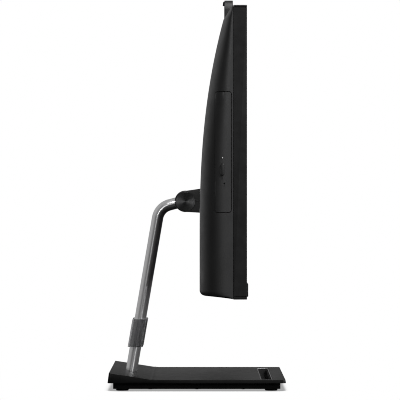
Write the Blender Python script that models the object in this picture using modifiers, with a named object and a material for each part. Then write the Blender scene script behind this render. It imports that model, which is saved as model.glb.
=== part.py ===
"""All-in-one desktop computer on a bent-tube stand, built as an assembly of separate solids.

Frame: +Z up, origin on the desk under the middle of the base. The screen faces -Y, so the
user's left hand is -X. Everything is in metres and stands as the computer is used: screen
upright, webcam raised, disc tray shut.
"""

import math

import bmesh
import bpy
from mathutils import Matrix, Vector

# Screen unit
SCREEN_W = 0.541  # outer width of a 23.8 inch unit
SCREEN_TOP = 0.4484
SCREEN_BOTTOM = 0.1131
FRONT_Y = -0.0573  # face of the bezel
FRAME_BACK_Y = -0.0419
FRAME_WALL = 0.0022
FRAME_LIP = 0.0012
FRAME_CORNER_R = 0.0012
ACTIVE_W = 0.527
ACTIVE_H = 0.2965
BEZEL_TOP = 0.008
GRILLE_Z = (0.1140, 0.1296)
GRILLE_T = 0.0026
GRILLE_HALF_W = 0.200
SOUND_Z = 0.1215  # height of the speakers' sound openings
SOUND_HOLE_X = (0.13, 0.18)
SOUND_SLOT_X = 0.118  # nearest slot to the middle
SOUND_SLOT_STEP = 0.008
SOUND_SLOTS = 10
PANEL_SIDE_GAP = 0.0015
GLASS_T = 0.0019
BACKLIGHT_BACK_Y = -0.0463
SPEAKER_X = (0.108, 0.202)
SPEAKER_Y = (-0.0556, -0.0466)
SPEAKER_Z = (0.1172, 0.1385)
BUTTON_X = (0.222, 0.238)
BUTTON_Y = (-0.0520, -0.0470)
BUTTON_Z = (0.1126, 0.1167)
BUTTON_GAP = 0.0004
SWITCH_BOARD_Z = (0.1190, 0.1202)
GAP = 0.0003  # assembly gap between neighbouring pieces
SLIDE_GAP = 0.0005  # gap round a piece that slides
RUNNING_GAP = 0.0001  # gap between the hinge shaft and its eye

# Rear cover: a bulged shell, deepest below its middle
COVER_RIM_Y = FRAME_BACK_Y + GAP
COVER_DEPTH = 0.0382
COVER_DEEPEST_Z = 0.181
COVER_TOP_DROP = 0.0253  # how much shallower the shell is, COVER_DROP_SPAN higher up
COVER_DROP_SPAN = 0.245
COVER_DROP_POWER = 2.5
COVER_TOP_EDGE = 0.0012  # depth of the top edge, before its chamfer
COVER_TOP_SLOPE = 0.68
COVER_TOP_CHAMFER = 0.0145  # height of the chamfer along the top
COVER_FOOT_Z = 0.1133
COVER_FOOT_R = 0.006
COVER_FOOT_SLOPE = 0.094
COVER_SIDE_R = 0.050  # how far in from each side the shell reaches its full depth
COVER_SIDE_POWER = 2.4
COVER_WALL = 0.0022
NECK_WINDOW = ((-0.0292, 0.2127), (0.0292, 0.2384))  # lowest and highest (X, Z)
LOCK_SLOT = ((-0.2035, 0.1485), (-0.1965, 0.1515))
VENT_W = 0.005
VENT_STEP = 0.012
TOP_VENTS = (0.105, 0.398, 0.020, 11)  # first X, middle Z, height, count
LOW_VENTS = (-0.230, 0.165, 0.026, 9)

# Tilt hinge, inside the neck
HINGE_Y = 0.0140
HINGE_Z = 0.2244
NECK_R = 0.0124
NECK_HALF_W = 0.031
NECK_WALL = 0.002
NECK_TOP_EDGE = (-0.0036, 0.2404)  # (Y, Z) where the neck meets the rear cover
NECK_BOTTOM_EDGE = (-0.0029, 0.2108)
SHAFT_R = 0.009
SHAFT_END_R = 0.004
SLOT_SWING = (-58, 62)  # degrees about the hinge that the tube slot spans
LUG_INNER_X = 0.023
LUG_T = 0.003
LUG_R = 0.0085
SHAFT_HALF_W = 0.0205
SHAFT_END_X = 0.0284
CAP_R = 0.0113
CAP_RAISED = 0.0004
NECK_SPLIT = 0.00015  # half the gap between the two neck covers
BRACKET_Y = (-0.0135, -0.0110)
BRACKET_HALF_W = 0.042
BRACKET_Z = (0.186, 0.259)
HAT_FOOT_X = 0.0625
HAT_WEB_X = 0.048
HAT_TOP_Y = -0.0138
HAT_SHEET = 0.002
HAT_Z = (0.180, 0.265)

# Stand tube: an oval tube, a leaning leg bent over into a short arm
TUBE_HALF_T = 0.007
TUBE_HALF_W = 0.020
TUBE_WALL = 0.0018
TUBE_BEND_R = 0.020
LEG_LEAN = 0.1711  # how far the leg moves to -Y for each metre that it rises
LEG_Y_AT_DESK = 0.08325
ARM_END = (HINGE_Y, HINGE_Z + 0.0011)
ARM_DROP = math.radians(14.5)  # the arm falls this much towards the back

# Base
BASE_W = 0.2708
BASE_FRONT_Y = -0.1057
BASE_BACK_Y = 0.1058
BASE_CORNER_R = 0.0045
PLATE_BOTTOM_Z = 0.0095
PLATE_TOP_Z = 0.01345
RAMP_START_Y = 0.0528
RAMP_END_Y = 0.1041
RAMP_TOP_Z = 0.0215
PLATE_SKIN = 0.0028
CREASE_HALF = 0.004  # half the length over which the flat top turns into the ramp
CREASE_LIFT = 0.00045
CAVITY_Y = (0.056, 0.0995)  # hollow under the ramp
PAN_HALF_W = 0.129
PAN_FRONT_Y = -0.0993
PAN_BACK_Y = 0.0993
PAN_BOTTOM_Z = 0.0024
PAN_WALL = 0.0018
PAN_CORNER_R = 0.004
FOOT_R = 0.0075
FOOT_X = 0.1172
FOOT_FRONT_Y = -0.0885
FOOT_BACK_Y = 0.0885
FOOT_H = 0.0029
SLOT_X = (-0.1264, 0.1065)
SLOT_Y = (-0.0893, -0.0765)
TRIM_W = 0.0008
TRIM_H = 0.0012
LINER_BOTTOM_Z = 0.0046
LINER_WALL = 0.0012
LINER_STOP = 0.013  # length of the solid stop at the slot's left end
BALLAST = ((-0.108, -0.070, 0.0046), (0.108, 0.094, 0.0084))
FLANGE = ((-0.034, 0.067, 0.0088), (0.034, 0.0965, 0.0119))
SCREW_AT = (0.027, 0.091)
SCREW_HEAD_R = 0.0035
SCREW_HEAD_H = 0.0022
SCREW_R = 0.0020
SCREW_HOLE_R = 0.0023
SCREW_FOOT_Z = 0.0052

# Cable clip on the leg
CLIP_Z = (0.047, 0.081)
CLIP_HALF_W = 0.030
CLIP_HALF_T = 0.0093
CLIP_WALL = 0.002
CLIP_MOUTH_HALF_W = 0.017

# Webcam, raised
CAM_HALF_W = 0.035
CAM_Y = (-0.0440, -0.03385)
CAM_Z = (0.4156, 0.4708)
CAM_CROWN = 0.001  # how far the top falls towards its ends
CAM_SHOULDER = 0.0105  # how far the rounded shoulders fall below that
CAM_SHOULDER_POWER = 6
CAM_LIP_HALF_W = 0.008
CAM_LIP_Y = -0.03185
CAM_LIP_Z = 0.4652
CAM_LIP_TAPER = 0.0009
CAM_LENS_Z = 0.4600
CAM_LENS_R = 0.0041
CAM_EDGE = 0.0005
CAM_SLOT_Z = 0.4330  # lower end of the slot in the rear cover
RAIL_Z = (0.388, 0.428)
RAIL_POST = 0.005
RAIL_FLOOR = 0.004
RAIL_BACK_Y = -0.0350

# Disc drive in the user's left side
DRIVE_X = (-0.258, -0.127)
DRIVE_Y = (-0.0390, -0.0263)
DRIVE_Z = (0.2160, 0.3461)
BEZEL_Y = (-0.0391, -0.0214)
BEZEL_Z = (0.2127, 0.3493)
BEZEL_INNER_X = -0.250
BEZEL_CORNER_R = 0.0022
BEZEL_GAP = 0.0008
TRAY_X = (-0.2625, -0.1315)
TRAY_Y = (-0.0374, -0.0276)
TRAY_MARGIN = 0.0023  # above and below the tray, inside the case
TRAY_RECESS = 0.0016
TRAY_DEEP_Y = -0.0300  # floor of the tray's hub hole and sled slot
DRIVE_WALL = 0.0009
HUB_R = 0.0075
HUB_Y = (-0.0376, -0.0306)
HUB_HOLE_R = 0.0082
HUB_EYE_R = 0.003
SLED_Y = (-0.0345, -0.0303)
PICKUP_LENS_R = 0.0025
DISC_X = -0.201
DISC_Z = 0.28105
DISC_R = 0.0605
DATA_START_R = 0.023  # where the recorded area of a disc begins
SLED_X = (-0.187, -0.169)
SLED_HALF_H = 0.009
SLED_TRAVEL = 0.027
EJECT_Y = -0.0295
EJECT_Z = (0.2543, 0.2679)
EJECT_HALF_T = 0.0017
EJECT_X = (-0.2694, -0.2640)
PIN_HOLE_Y = -0.0314
PIN_HOLE_R = 0.0008
PIN_HOLE_DROP = 0.0157  # below the middle of the eject button
BUSY_LIGHT_R = 0.0007
BUSY_LIGHT_RISE = 0.0133

# Boards and cooling, behind the chassis plate
CHASSIS_Y = (-0.0456, -0.0444)
BOARD_Y = (-0.0382, -0.0366)
BOARD_X = (0.066, 0.236)
BOARD_Z = (0.152, 0.290)
FAN_X = (0.150, 0.230)
FAN_Y = (-0.0430, -0.0285)
FAN_Z = (0.300, 0.372)
ROTOR_R = 0.030
BAY_X = (0.072, 0.218)
BAY_Z = (0.122, 0.149)
BAY_Y = (-0.0388, -0.0069)
BAY_WALL = 0.0016
CARD_Y = (-0.0345, -0.0334)
CARD_CHIP_Y = (-0.0337, -0.0322)
HARD_DRIVE = ((-0.235, -0.0424, 0.130), (-0.135, -0.0354, 0.200))
CAGE_X = (-0.232, -0.138)
CAGE_Y = (-0.0440, -0.0370)
CAGE_SHEET = 0.0012
CAGE_MARGIN = 0.0015
HUB_TO_BLADE = 34  # degrees that each fan blade sweeps back
ROTOR_HUB_R = 0.013
FAN_BLADES = 11
HEAT_PIPE_R = 0.0025
HEAT_PIPE_Y = -0.0270
FIN_X = 0.156
FIN_Z = (0.3755, 0.3960)
FIN_Y = (-0.0418, -0.0302)
FIN_PITCH = 0.0029
FIN_T = 0.0009
FINS = 24
PORT_Z = (0.1493, 0.1638)
PORT_BACK_WALL = 0.002

FRAMES = {
    "X": Matrix(((0, 0, 1, 0), (1, 0, 0, 0), (0, 1, 0, 0), (0, 0, 0, 1))),
    "Y": Matrix(((1, 0, 0, 0), (0, 0, -1, 0), (0, 1, 0, 0), (0, 0, 0, 1))),
    "Z": Matrix.Identity(4),
}
COLOURS = {
    "frame_plastic": ((0.016, 0.016, 0.017), 0.45, 0.0),
    "cover_plastic": ((0.030, 0.030, 0.031), 0.42, 0.0),
    "black_plastic": ((0.010, 0.010, 0.010), 0.50, 0.0),
    "hinge_cap_metal": ((0.06, 0.06, 0.06), 0.35, 0.8),
    "screen_glass": ((0.006, 0.006, 0.008), 0.12, 0.0),
    "brushed_tube": ((0.45, 0.45, 0.46), 0.30, 1.0),
    "base_paint": ((0.035, 0.035, 0.036), 0.38, 0.2),
    "rubber": ((0.006, 0.006, 0.006), 0.85, 0.0),
    "smoke_plastic": ((0.10, 0.10, 0.10), 0.35, 0.0),
    "panel_back": ((0.35, 0.35, 0.36), 0.45, 0.0),
    "steel": ((0.50, 0.50, 0.50), 0.35, 1.0),
    "copper": ((0.72, 0.38, 0.22), 0.30, 1.0),
    "aluminium": ((0.70, 0.70, 0.71), 0.35, 1.0),
    "board_green": ((0.02, 0.09, 0.04), 0.50, 0.0),
}


def start_scene():
    for obj in list(bpy.data.objects):
        bpy.data.objects.remove(obj)
    found = {}
    for name in ("all_in_one_pc", "cutters"):
        found[name] = bpy.data.collections.new(name)
        bpy.context.scene.collection.children.link(found[name])
    return found


COLLECTIONS = start_scene()


def material(name):
    made = bpy.data.materials.get(name)
    if made is None:
        colour, roughness, metallic = COLOURS[name]
        made = bpy.data.materials.new(name)
        made.use_nodes = True
        shader = made.node_tree.nodes["Principled BSDF"]
        shader.inputs["Base Color"].default_value = (*colour, 1)
        shader.inputs["Roughness"].default_value = roughness
        shader.inputs["Metallic"].default_value = metallic
    return made


def place(obj, kind):
    """Puts obj in the model with its material, or among the cutters when kind is None."""
    for collection in list(obj.users_collection):
        collection.objects.unlink(obj)
    if kind is None:
        COLLECTIONS["cutters"].objects.link(obj)
        obj.hide_render = True
        obj.display_type = "WIRE"
    else:
        COLLECTIONS["all_in_one_pc"].objects.link(obj)
        obj.data.materials.append(material(kind))
    return obj


def smooth(obj, angle=40):
    obj.data.shade_smooth()
    obj.data.set_sharp_from_angle(angle=math.radians(angle))
    return obj


def bevel(obj, width, segments=2):
    modifier = obj.modifiers.new("edges", "BEVEL")
    modifier.width = width
    modifier.segments = segments
    modifier.limit_method = "ANGLE"
    return obj


def box(name, low, high, kind=None, edge=0.0):
    """A box from its lowest to its highest corner."""
    low, high = Vector(low), Vector(high)
    bpy.ops.mesh.primitive_cube_add(size=1, location=(low + high) / 2)
    obj = bpy.context.object
    obj.name = name
    obj.data.transform(Matrix.Diagonal((*(high - low), 1)))
    if edge:
        bevel(obj, edge)
    return place(obj, kind)


def cylinder(name, radius, axis, centre, low, high, kind=None, sides=32):
    """A cylinder along axis from low to high; centre gives the other two coordinates."""
    turns = {"X": (0, math.pi / 2, 0), "Y": (math.pi / 2, 0, 0), "Z": (0, 0, 0)}
    at = list(centre)
    at.insert("XYZ".index(axis), (low + high) / 2)
    bpy.ops.mesh.primitive_cylinder_add(
        vertices=sides, radius=radius, depth=high - low, location=at, rotation=turns[axis]
    )
    obj = bpy.context.object
    obj.name = name
    return smooth(place(obj, kind))


def curve_to_mesh(obj, name, kind):
    """Replaces a curve object by a welded mesh object in the same place."""
    bpy.context.view_layer.update()
    evaluated = obj.evaluated_get(bpy.context.evaluated_depsgraph_get())
    mesh = bpy.data.meshes.new_from_object(evaluated)
    work = bmesh.new()
    work.from_mesh(mesh)
    bmesh.ops.remove_doubles(work, verts=work.verts, dist=1e-6)
    bmesh.ops.recalc_face_normals(work, faces=work.faces)
    work.to_mesh(mesh)
    work.free()
    where = obj.matrix_world.copy()
    bpy.data.objects.remove(obj)
    made = bpy.data.objects.new(name, mesh)
    made.matrix_world = where
    return place(made, kind)


def prism(name, outline, axis, low, high, kind=None, edge=0.0):
    """A flat outline pushed along an axis. Its points are (Y, Z) for X, (X, Z) for Y, (X, Y) for Z."""
    curve = bpy.data.curves.new(name, "CURVE")
    curve.dimensions = "2D"
    curve.fill_mode = "BOTH"
    curve.extrude = (high - low) / 2
    spline = curve.splines.new("POLY")
    spline.points.add(len(outline) - 1)
    for point, (u, v) in zip(spline.points, outline):
        point.co = (u, v, 0, 1)
    spline.use_cyclic_u = True
    obj = bpy.data.objects.new(name, curve)
    bpy.context.scene.collection.objects.link(obj)
    middle = (low + high) / 2
    along = {"X": (middle, 0, 0), "Y": (0, middle, 0), "Z": (0, 0, middle)}[axis]
    obj.matrix_world = Matrix.Translation(along) @ FRAMES[axis]
    made = curve_to_mesh(obj, name, kind)
    if edge:
        bevel(made, edge)
    return made


def boolean(obj, other, operation):
    modifier = obj.modifiers.new(operation.lower(), "BOOLEAN")
    modifier.operation = operation
    modifier.solver = "EXACT"
    modifier.object = other
    return obj


def cut(obj, *cutters):
    for cutter in cutters:
        boolean(obj, cutter, "DIFFERENCE")
    return obj


def join(obj, *others):
    for other in others:
        boolean(obj, other, "UNION")
    return obj


def grid_of_boxes(name, centres, size):
    """One cutter made of equal boxes at the given centres."""
    work = bmesh.new()
    for centre in centres:
        shape = Matrix.Translation(centre) @ Matrix.Diagonal((*size, 1))
        bmesh.ops.create_cube(work, size=1, matrix=shape)
    mesh = bpy.data.meshes.new(name)
    work.to_mesh(mesh)
    work.free()
    return place(bpy.data.objects.new(name, mesh), None)


def arc(centre, radius, start, end, steps):
    """Points on a circle from start to end, in degrees."""
    angles = [math.radians(start + (end - start) * i / steps) for i in range(steps + 1)]
    return [(centre[0] + radius * math.cos(a), centre[1] + radius * math.sin(a)) for a in angles]


def rounded_rectangle(low, high, radius, steps=4):
    corners = (
        ((high[0] - radius, high[1] - radius), 0),
        ((low[0] + radius, high[1] - radius), 90),
        ((low[0] + radius, low[1] + radius), 180),
        ((high[0] - radius, low[1] + radius), 270),
    )
    return [p for centre, start in corners for p in arc(centre, radius, start, start + 90, steps)]


# --- Screen unit: frame, panel, chassis -------------------------------------------------


def front_frame():
    """The outer frame with a thin front lip round the panel and a chin below it."""
    side = SCREEN_W / 2
    outline = rounded_rectangle((-side, SCREEN_BOTTOM), (side, SCREEN_TOP), FRAME_CORNER_R)
    frame = prism("front_frame", outline, "Y", FRONT_Y, FRAME_BACK_Y, "frame_plastic", 0.0006)
    inner = side - FRAME_WALL
    window_top = SCREEN_TOP - BEZEL_TOP
    window = ((-ACTIVE_W / 2, window_top - ACTIVE_H), (ACTIVE_W / 2, window_top))
    cut(
        frame,
        box(
            "frame_pocket",
            (-inner, FRONT_Y + FRAME_LIP, SCREEN_BOTTOM + FRAME_WALL),
            (inner, 0, SCREEN_TOP - FRAME_WALL),
        ),
        box("frame_window", (window[0][0], -0.1, window[0][1]), (window[1][0], 0, window[1][1])),
        box(
            "frame_webcam_notch",
            (-CAM_HALF_W - SLIDE_GAP, CAM_Y[0] - GAP, CAM_SLOT_Z),
            (CAM_HALF_W + SLIDE_GAP, 0, SCREEN_TOP + FRAME_WALL),
        ),
        box(
            "frame_button_hole",
            (BUTTON_X[0] - BUTTON_GAP, BUTTON_Y[0] - BUTTON_GAP, 0),
            (BUTTON_X[1] + BUTTON_GAP, BUTTON_Y[1] + BUTTON_GAP, BUTTON_Z[1]),
        ),
        grid_of_boxes(
            "frame_sound_holes",
            [(side * x, FRONT_Y, SOUND_Z) for side in (-1, 1) for x in SOUND_HOLE_X],
            (0.04, 0.01, 0.007),
        ),
    )
    return frame


def speaker_grille():
    """The raised bar across the chin, with a row of sound slots at each end."""
    back, front = FRONT_Y - GAP, FRONT_Y - GRILLE_T
    low, high = GRILLE_Z
    outline = [
        (back, low),
        (front + 0.0004, low),
        (front, low + 0.0004),
        (front, high - 0.0015),
        (front + 0.0013, high),
        (back, high),
    ]
    bar = prism(
        "speaker_grille", outline, "X", -GRILLE_HALF_W, GRILLE_HALF_W, "frame_plastic"
    )
    across = [SOUND_SLOT_X + SOUND_SLOT_STEP * i for i in range(SOUND_SLOTS)]
    slots = [(side * x, FRONT_Y, SOUND_Z) for side in (-1, 1) for x in across]
    return cut(bar, grid_of_boxes("grille_slots", slots, (0.004, 0.02, 0.0035)))


def panel_and_chassis():
    inner = SCREEN_W / 2 - FRAME_WALL - PANEL_SIDE_GAP
    glass_front = FRONT_Y + FRAME_LIP + GAP
    top = SCREEN_TOP - FRAME_WALL - 0.0013
    bottom = SCREEN_TOP - BEZEL_TOP - ACTIVE_H - 0.003
    box(
        "lcd_glass",
        (-inner, glass_front, bottom),
        (inner, glass_front + GLASS_T, top),
        "screen_glass",
    )
    box(
        "lcd_backlight",
        (-inner, glass_front + GLASS_T + GAP, bottom),
        (inner, BACKLIGHT_BACK_Y, top),
        "panel_back",
        0.001,
    )
    plate = box(
        "chassis_plate",
        (-inner, CHASSIS_Y[0], SCREEN_BOTTOM + 0.004),
        (inner, CHASSIS_Y[1], top),
        "steel",
    )
    ribs = [(x, CHASSIS_Y[0], 0.36) for x in (-0.10, -0.03, 0.04, 0.11)]
    cut(plate, grid_of_boxes("chassis_windows", ribs, (0.04, 0.02, 0.06)))
    for side, name in ((-1, "left"), (1, "right")):
        low, high = sorted(side * x for x in SPEAKER_X)
        speaker = box(
            f"speaker_{name}",
            (low, SPEAKER_Y[0], SPEAKER_Z[0]),
            (high, SPEAKER_Y[1], SPEAKER_Z[1]),
            "black_plastic",
            0.001,
        )
        cone = cylinder(
            f"speaker_{name}_cone", 0.008, "Y", (side * 0.155, 0.1275), -0.06, -0.0535, sides=24
        )
        cut(speaker, cone)


# --- Rear cover -------------------------------------------------------------------------


def cover_depth(z):
    """Depth of the rear cover behind its rim at height z, above the rounded foot."""
    rise = max(0.0, z - COVER_DEEPEST_Z)
    bulge = COVER_DEPTH - COVER_TOP_DROP * (rise / COVER_DROP_SPAN) ** COVER_DROP_POWER
    return min(bulge, COVER_TOP_EDGE + COVER_TOP_SLOPE * (SCREEN_TOP - z))


def cover_profile():
    """(height, depth) down the middle of the cover, from its top edge round its foot."""
    top = [SCREEN_TOP - 0.0003, SCREEN_TOP - COVER_TOP_CHAMFER]
    span = top[-1] - COVER_DEEPEST_Z
    bulge = [top[-1] - span * i / 10 for i in range(1, 11)]
    points = [(SCREEN_TOP, 0.0)] + [(z, cover_depth(z)) for z in top + bulge + [0.140]]
    foot_depth = COVER_DEPTH - COVER_FOOT_R
    foot_z = COVER_FOOT_Z + COVER_FOOT_SLOPE * foot_depth + COVER_FOOT_R
    round_foot = arc((foot_z, foot_depth), COVER_FOOT_R, 90, 180, 5)
    return points + round_foot + [(COVER_FOOT_Z, 0.0)]


def cover_section(steps=8):
    """(inset from the side, share of the full depth) round one side of the cover."""
    power = 2 / COVER_SIDE_POWER
    turned = [math.radians(90 * i / steps) for i in range(steps + 1)]
    return [(COVER_SIDE_R * (1 - math.cos(a) ** power), math.sin(a) ** power) for a in turned]


def cover_lattice(wall):
    """Rows of points over the cover's surface, moved inwards by wall."""
    middle = (SCREEN_TOP + COVER_FOOT_Z) / 2
    shrink = 1 - 2 * wall / (SCREEN_TOP - COVER_FOOT_Z)
    side = SCREEN_W / 2 - 0.0004 - wall
    rows = []
    for z, depth in cover_profile():
        height = middle + (z - middle) * shrink
        inner = max(0.0, depth - wall)
        left = [(-side + s, COVER_RIM_Y + inner * g, height) for s, g in cover_section()]
        right = [(-x, y, h) for x, y, h in reversed(left)]
        rows.append(left + right)
    return rows


def cover_shell(name, kind):
    """The cover's outer and inner surfaces, joined round the rim."""
    work = bmesh.new()
    outer = [[work.verts.new(p) for p in row] for row in cover_lattice(0)]
    inner = [[work.verts.new(p) for p in row] for row in cover_lattice(COVER_WALL)]
    rows, columns = len(outer), len(outer[0])
    for i in range(rows - 1):
        for j in range(columns - 1):
            a, b, c, d = outer[i][j], outer[i][j + 1], outer[i + 1][j + 1], outer[i + 1][j]
            work.faces.new((a, b, c, d))
            a, b, c, d = inner[i][j], inner[i][j + 1], inner[i + 1][j + 1], inner[i + 1][j]
            work.faces.new((d, c, b, a))
    rim = [(0, j) for j in range(columns)]
    rim += [(i, columns - 1) for i in range(1, rows)]
    rim += [(rows - 1, j) for j in range(columns - 2, -1, -1)]
    rim += [(i, 0) for i in range(rows - 2, 0, -1)]
    for (i, j), (k, m) in zip(rim, rim[1:] + rim[:1]):
        work.faces.new((outer[k][m], outer[i][j], inner[i][j], inner[k][m]))
    # Flat triangles keep the cuts clean where the surface twists.
    bmesh.ops.triangulate(work, faces=work.faces)
    bmesh.ops.recalc_face_normals(work, faces=work.faces)
    mesh = bpy.data.meshes.new(name)
    work.to_mesh(mesh)
    work.free()
    return smooth(place(bpy.data.objects.new(name, mesh), kind), 30)


def bezel_block(name, grow):
    """The block of space that the disc drive's bezel takes out of the cover's side."""
    low = (BEZEL_Y[0] - grow, BEZEL_Z[0] - grow)
    high = (BEZEL_Y[1] + grow, BEZEL_Z[1] + grow)
    outline = rounded_rectangle(low, high, BEZEL_CORNER_R + grow)
    return prism(name, outline, "X", -SCREEN_W, BEZEL_INNER_X)


def vents(name, row):
    """A row of upright slots, as one cutter."""
    first_x, middle_z, height, count = row
    centres = [(first_x + VENT_STEP * i, -0.01, middle_z) for i in range(count)]
    return grid_of_boxes(name, centres, (VENT_W, 0.05, height))


def wall_opening(name, corners):
    """A box that cuts through the cover's back, from its lowest and highest (X, Z) corners."""
    (low_x, low_z), (high_x, high_z) = corners
    return box(name, (low_x, -0.02, low_z), (high_x, 0.01, high_z))


def rear_cover():
    cover = cover_shell("rear_cover", "cover_plastic")
    cut(
        cover,
        bezel_block("bezel_opening", BEZEL_GAP),
        box(
            "webcam_slot",
            (-CAM_HALF_W - SLIDE_GAP, FRONT_Y, CAM_SLOT_Z),
            (CAM_HALF_W + SLIDE_GAP, CAM_Y[1] + SLIDE_GAP, CAM_Z[1]),
        ),
        box(
            "webcam_lip_slot",
            (-CAM_LIP_HALF_W - SLIDE_GAP, FRONT_Y, CAM_SLOT_Z),
            (CAM_LIP_HALF_W + SLIDE_GAP, CAM_LIP_Y + SLIDE_GAP, CAM_Z[1]),
        ),
        wall_opening("neck_window", NECK_WINDOW),
        box(
            "port_window",
            (BAY_X[0] + BAY_WALL, -0.012, BAY_Z[0] + BAY_WALL),
            (BAY_X[1] - BAY_WALL, 0.01, BAY_Z[1] - BAY_WALL),
        ),
        wall_opening("lock_slot", LOCK_SLOT),
        vents("top_vents", TOP_VENTS),
        vents("low_vents", LOW_VENTS),
    )
    return cover


# --- Disc drive -------------------------------------------------------------------------


def disc_drive():
    case = box(
        "drive_case",
        (DRIVE_X[0], DRIVE_Y[0], DRIVE_Z[0]),
        (DRIVE_X[1], DRIVE_Y[1], DRIVE_Z[1]),
        "aluminium",
    )
    wall = DRIVE_WALL
    cut(
        case,
        box(
            "drive_case_inside",
            (-0.3, DRIVE_Y[0] + wall, DRIVE_Z[0] + wall),
            (DRIVE_X[1] - wall, DRIVE_Y[1] - wall, DRIVE_Z[1] - wall),
        ),
    )
    tray = box(
        "drive_tray",
        (TRAY_X[0], TRAY_Y[0], DRIVE_Z[0] + TRAY_MARGIN),
        (TRAY_X[1], TRAY_Y[1], DRIVE_Z[1] - TRAY_MARGIN),
        "black_plastic",
        0.0008,
    )
    recess = TRAY_Y[0] + TRAY_RECESS
    cut(
        tray,
        cylinder("disc_well", DISC_R, "Y", (DISC_X, DISC_Z), -0.05, recess, sides=48),
        cylinder("hub_hole", HUB_HOLE_R, "Y", (DISC_X, DISC_Z), -0.05, TRAY_DEEP_Y, sides=24),
        box(
            "sled_slot",
            (SLED_X[0] - SLIDE_GAP, -0.05, DISC_Z - SLED_HALF_H - SLIDE_GAP),
            (SLED_X[1] + SLED_TRAVEL + SLIDE_GAP, TRAY_DEEP_Y, DISC_Z + SLED_HALF_H + SLIDE_GAP),
        ),
    )
    bezel = boolean(
        cover_shell("drive_bezel", "cover_plastic"), bezel_block("bezel_blank", 0), "INTERSECT"
    )
    middle = sum(EJECT_Z) / 2
    through = (-SCREEN_W, BEZEL_INNER_X)
    pin = (PIN_HOLE_Y, middle - PIN_HOLE_DROP)
    light = (EJECT_Y, middle + BUSY_LIGHT_RISE)
    cut(
        bezel,
        prism("eject_hole", eject_outline(GAP), "X", *through),
        cylinder("pin_hole", PIN_HOLE_R, "X", pin, *through, sides=12),
        cylinder("busy_light_hole", BUSY_LIGHT_R, "X", light, *through, sides=12),
    )
    prism("eject_button", eject_outline(0), "X", *EJECT_X, "black_plastic", 0.0003)
    axis = (DISC_X, DISC_Z)
    hub = cylinder("disc_hub", HUB_R, "Y", axis, *HUB_Y, "black_plastic", 24)
    cut(hub, cylinder("hub_eye", HUB_EYE_R, "Y", axis, -0.05, HUB_Y[0] + 0.0008, sides=16))
    sled = box(
        "pickup_sled",
        (SLED_X[0], SLED_Y[0], DISC_Z - SLED_HALF_H),
        (SLED_X[1], SLED_Y[1], DISC_Z + SLED_HALF_H),
        "steel",
        0.0006,
    )
    lens_at = (DISC_X + DATA_START_R, DISC_Z)
    lens_y = (SLED_Y[0] - 0.0012, SLED_Y[0] + 0.001)
    join(sled, cylinder("pickup_lens", PICKUP_LENS_R, "Y", lens_at, *lens_y, sides=20))


def eject_outline(grow):
    low = (EJECT_Y - EJECT_HALF_T - grow, EJECT_Z[0] - grow)
    high = (EJECT_Y + EJECT_HALF_T + grow, EJECT_Z[1] + grow)
    return rounded_rectangle(low, high, EJECT_HALF_T + grow - 0.0001)


# --- Webcam and buttons -----------------------------------------------------------------


def crown_outline(steps=20):
    """Front view of the webcam in (X, Z): square feet and a crowned top with round shoulders."""
    points = [(-CAM_HALF_W, CAM_Z[0]), (CAM_HALF_W, CAM_Z[0])]
    for i in range(steps + 1):
        # Points crowd towards the shoulders, where the outline turns.
        across = math.cos(math.pi * i / steps)
        fall = CAM_CROWN * across**2 + CAM_SHOULDER * abs(across) ** CAM_SHOULDER_POWER
        points.append((CAM_HALF_W * across, CAM_Z[1] - fall))
    return points


def webcam():
    """The pop-up camera: it stands raised, and slides down into the rear cover."""
    housing = prism(
        "webcam_housing", crown_outline(), "Y", CAM_Y[0], CAM_Y[1], "frame_plastic", CAM_EDGE
    )
    lip = [
        (CAM_Y[1] - CAM_LIP_TAPER, CAM_LIP_Z),
        (CAM_LIP_Y, CAM_LIP_Z),
        (CAM_LIP_Y - CAM_LIP_TAPER, CAM_Z[1] - CAM_LIP_TAPER),
        (CAM_Y[1] - CAM_LIP_TAPER, CAM_Z[1] - CAM_LIP_TAPER),
    ]
    join(housing, prism("webcam_lip", lip, "X", -CAM_LIP_HALF_W, CAM_LIP_HALF_W))
    eye = (0, CAM_LENS_Z)
    front = CAM_Y[0]
    seat_r = CAM_LENS_R + 0.0004
    cut(housing, cylinder("lens_seat", seat_r, "Y", eye, FRONT_Y, front + 0.0022, sides=32))
    lens = cylinder(
        "webcam_lens", CAM_LENS_R, "Y", eye, front + 0.0004, front + 0.0019, "screen_glass"
    )
    bevel(lens, 0.0003)
    inner, outer = CAM_HALF_W + SLIDE_GAP, CAM_HALF_W + SLIDE_GAP + RAIL_POST
    floor_z, top_z = RAIL_Z
    rail = [
        (-outer, floor_z),
        (outer, floor_z),
        (outer, top_z),
        (inner, top_z),
        (inner, floor_z + RAIL_FLOOR),
        (-inner, floor_z + RAIL_FLOOR),
        (-inner, top_z),
        (-outer, top_z),
    ]
    prism("webcam_rail", rail, "Y", CHASSIS_Y[1] + GAP, RAIL_BACK_Y, "black_plastic")


def power_button():
    low, high = zip(BUTTON_X, BUTTON_Y, BUTTON_Z)
    box("power_button", low, high, "black_plastic", 0.0006)
    board_low, board_high = SWITCH_BOARD_Z
    board = box(
        "power_switch_board",
        (BUTTON_X[0] - 0.008, BUTTON_Y[0] - 0.0015, board_low),
        (BUTTON_X[1] + 0.008, BUTTON_Y[1] + 0.0005, board_high),
        "board_green",
    )
    middle_x, middle_y = sum(BUTTON_X) / 2, sum(BUTTON_Y) / 2
    switch = box(
        "tact_switch",
        (middle_x - 0.0025, middle_y - 0.002, board_low - 0.001),
        (middle_x + 0.0025, middle_y + 0.002, board_low + 0.0005),
    )
    join(board, switch)


# --- Inside: boards, storage, cooling, ports --------------------------------------------


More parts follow.
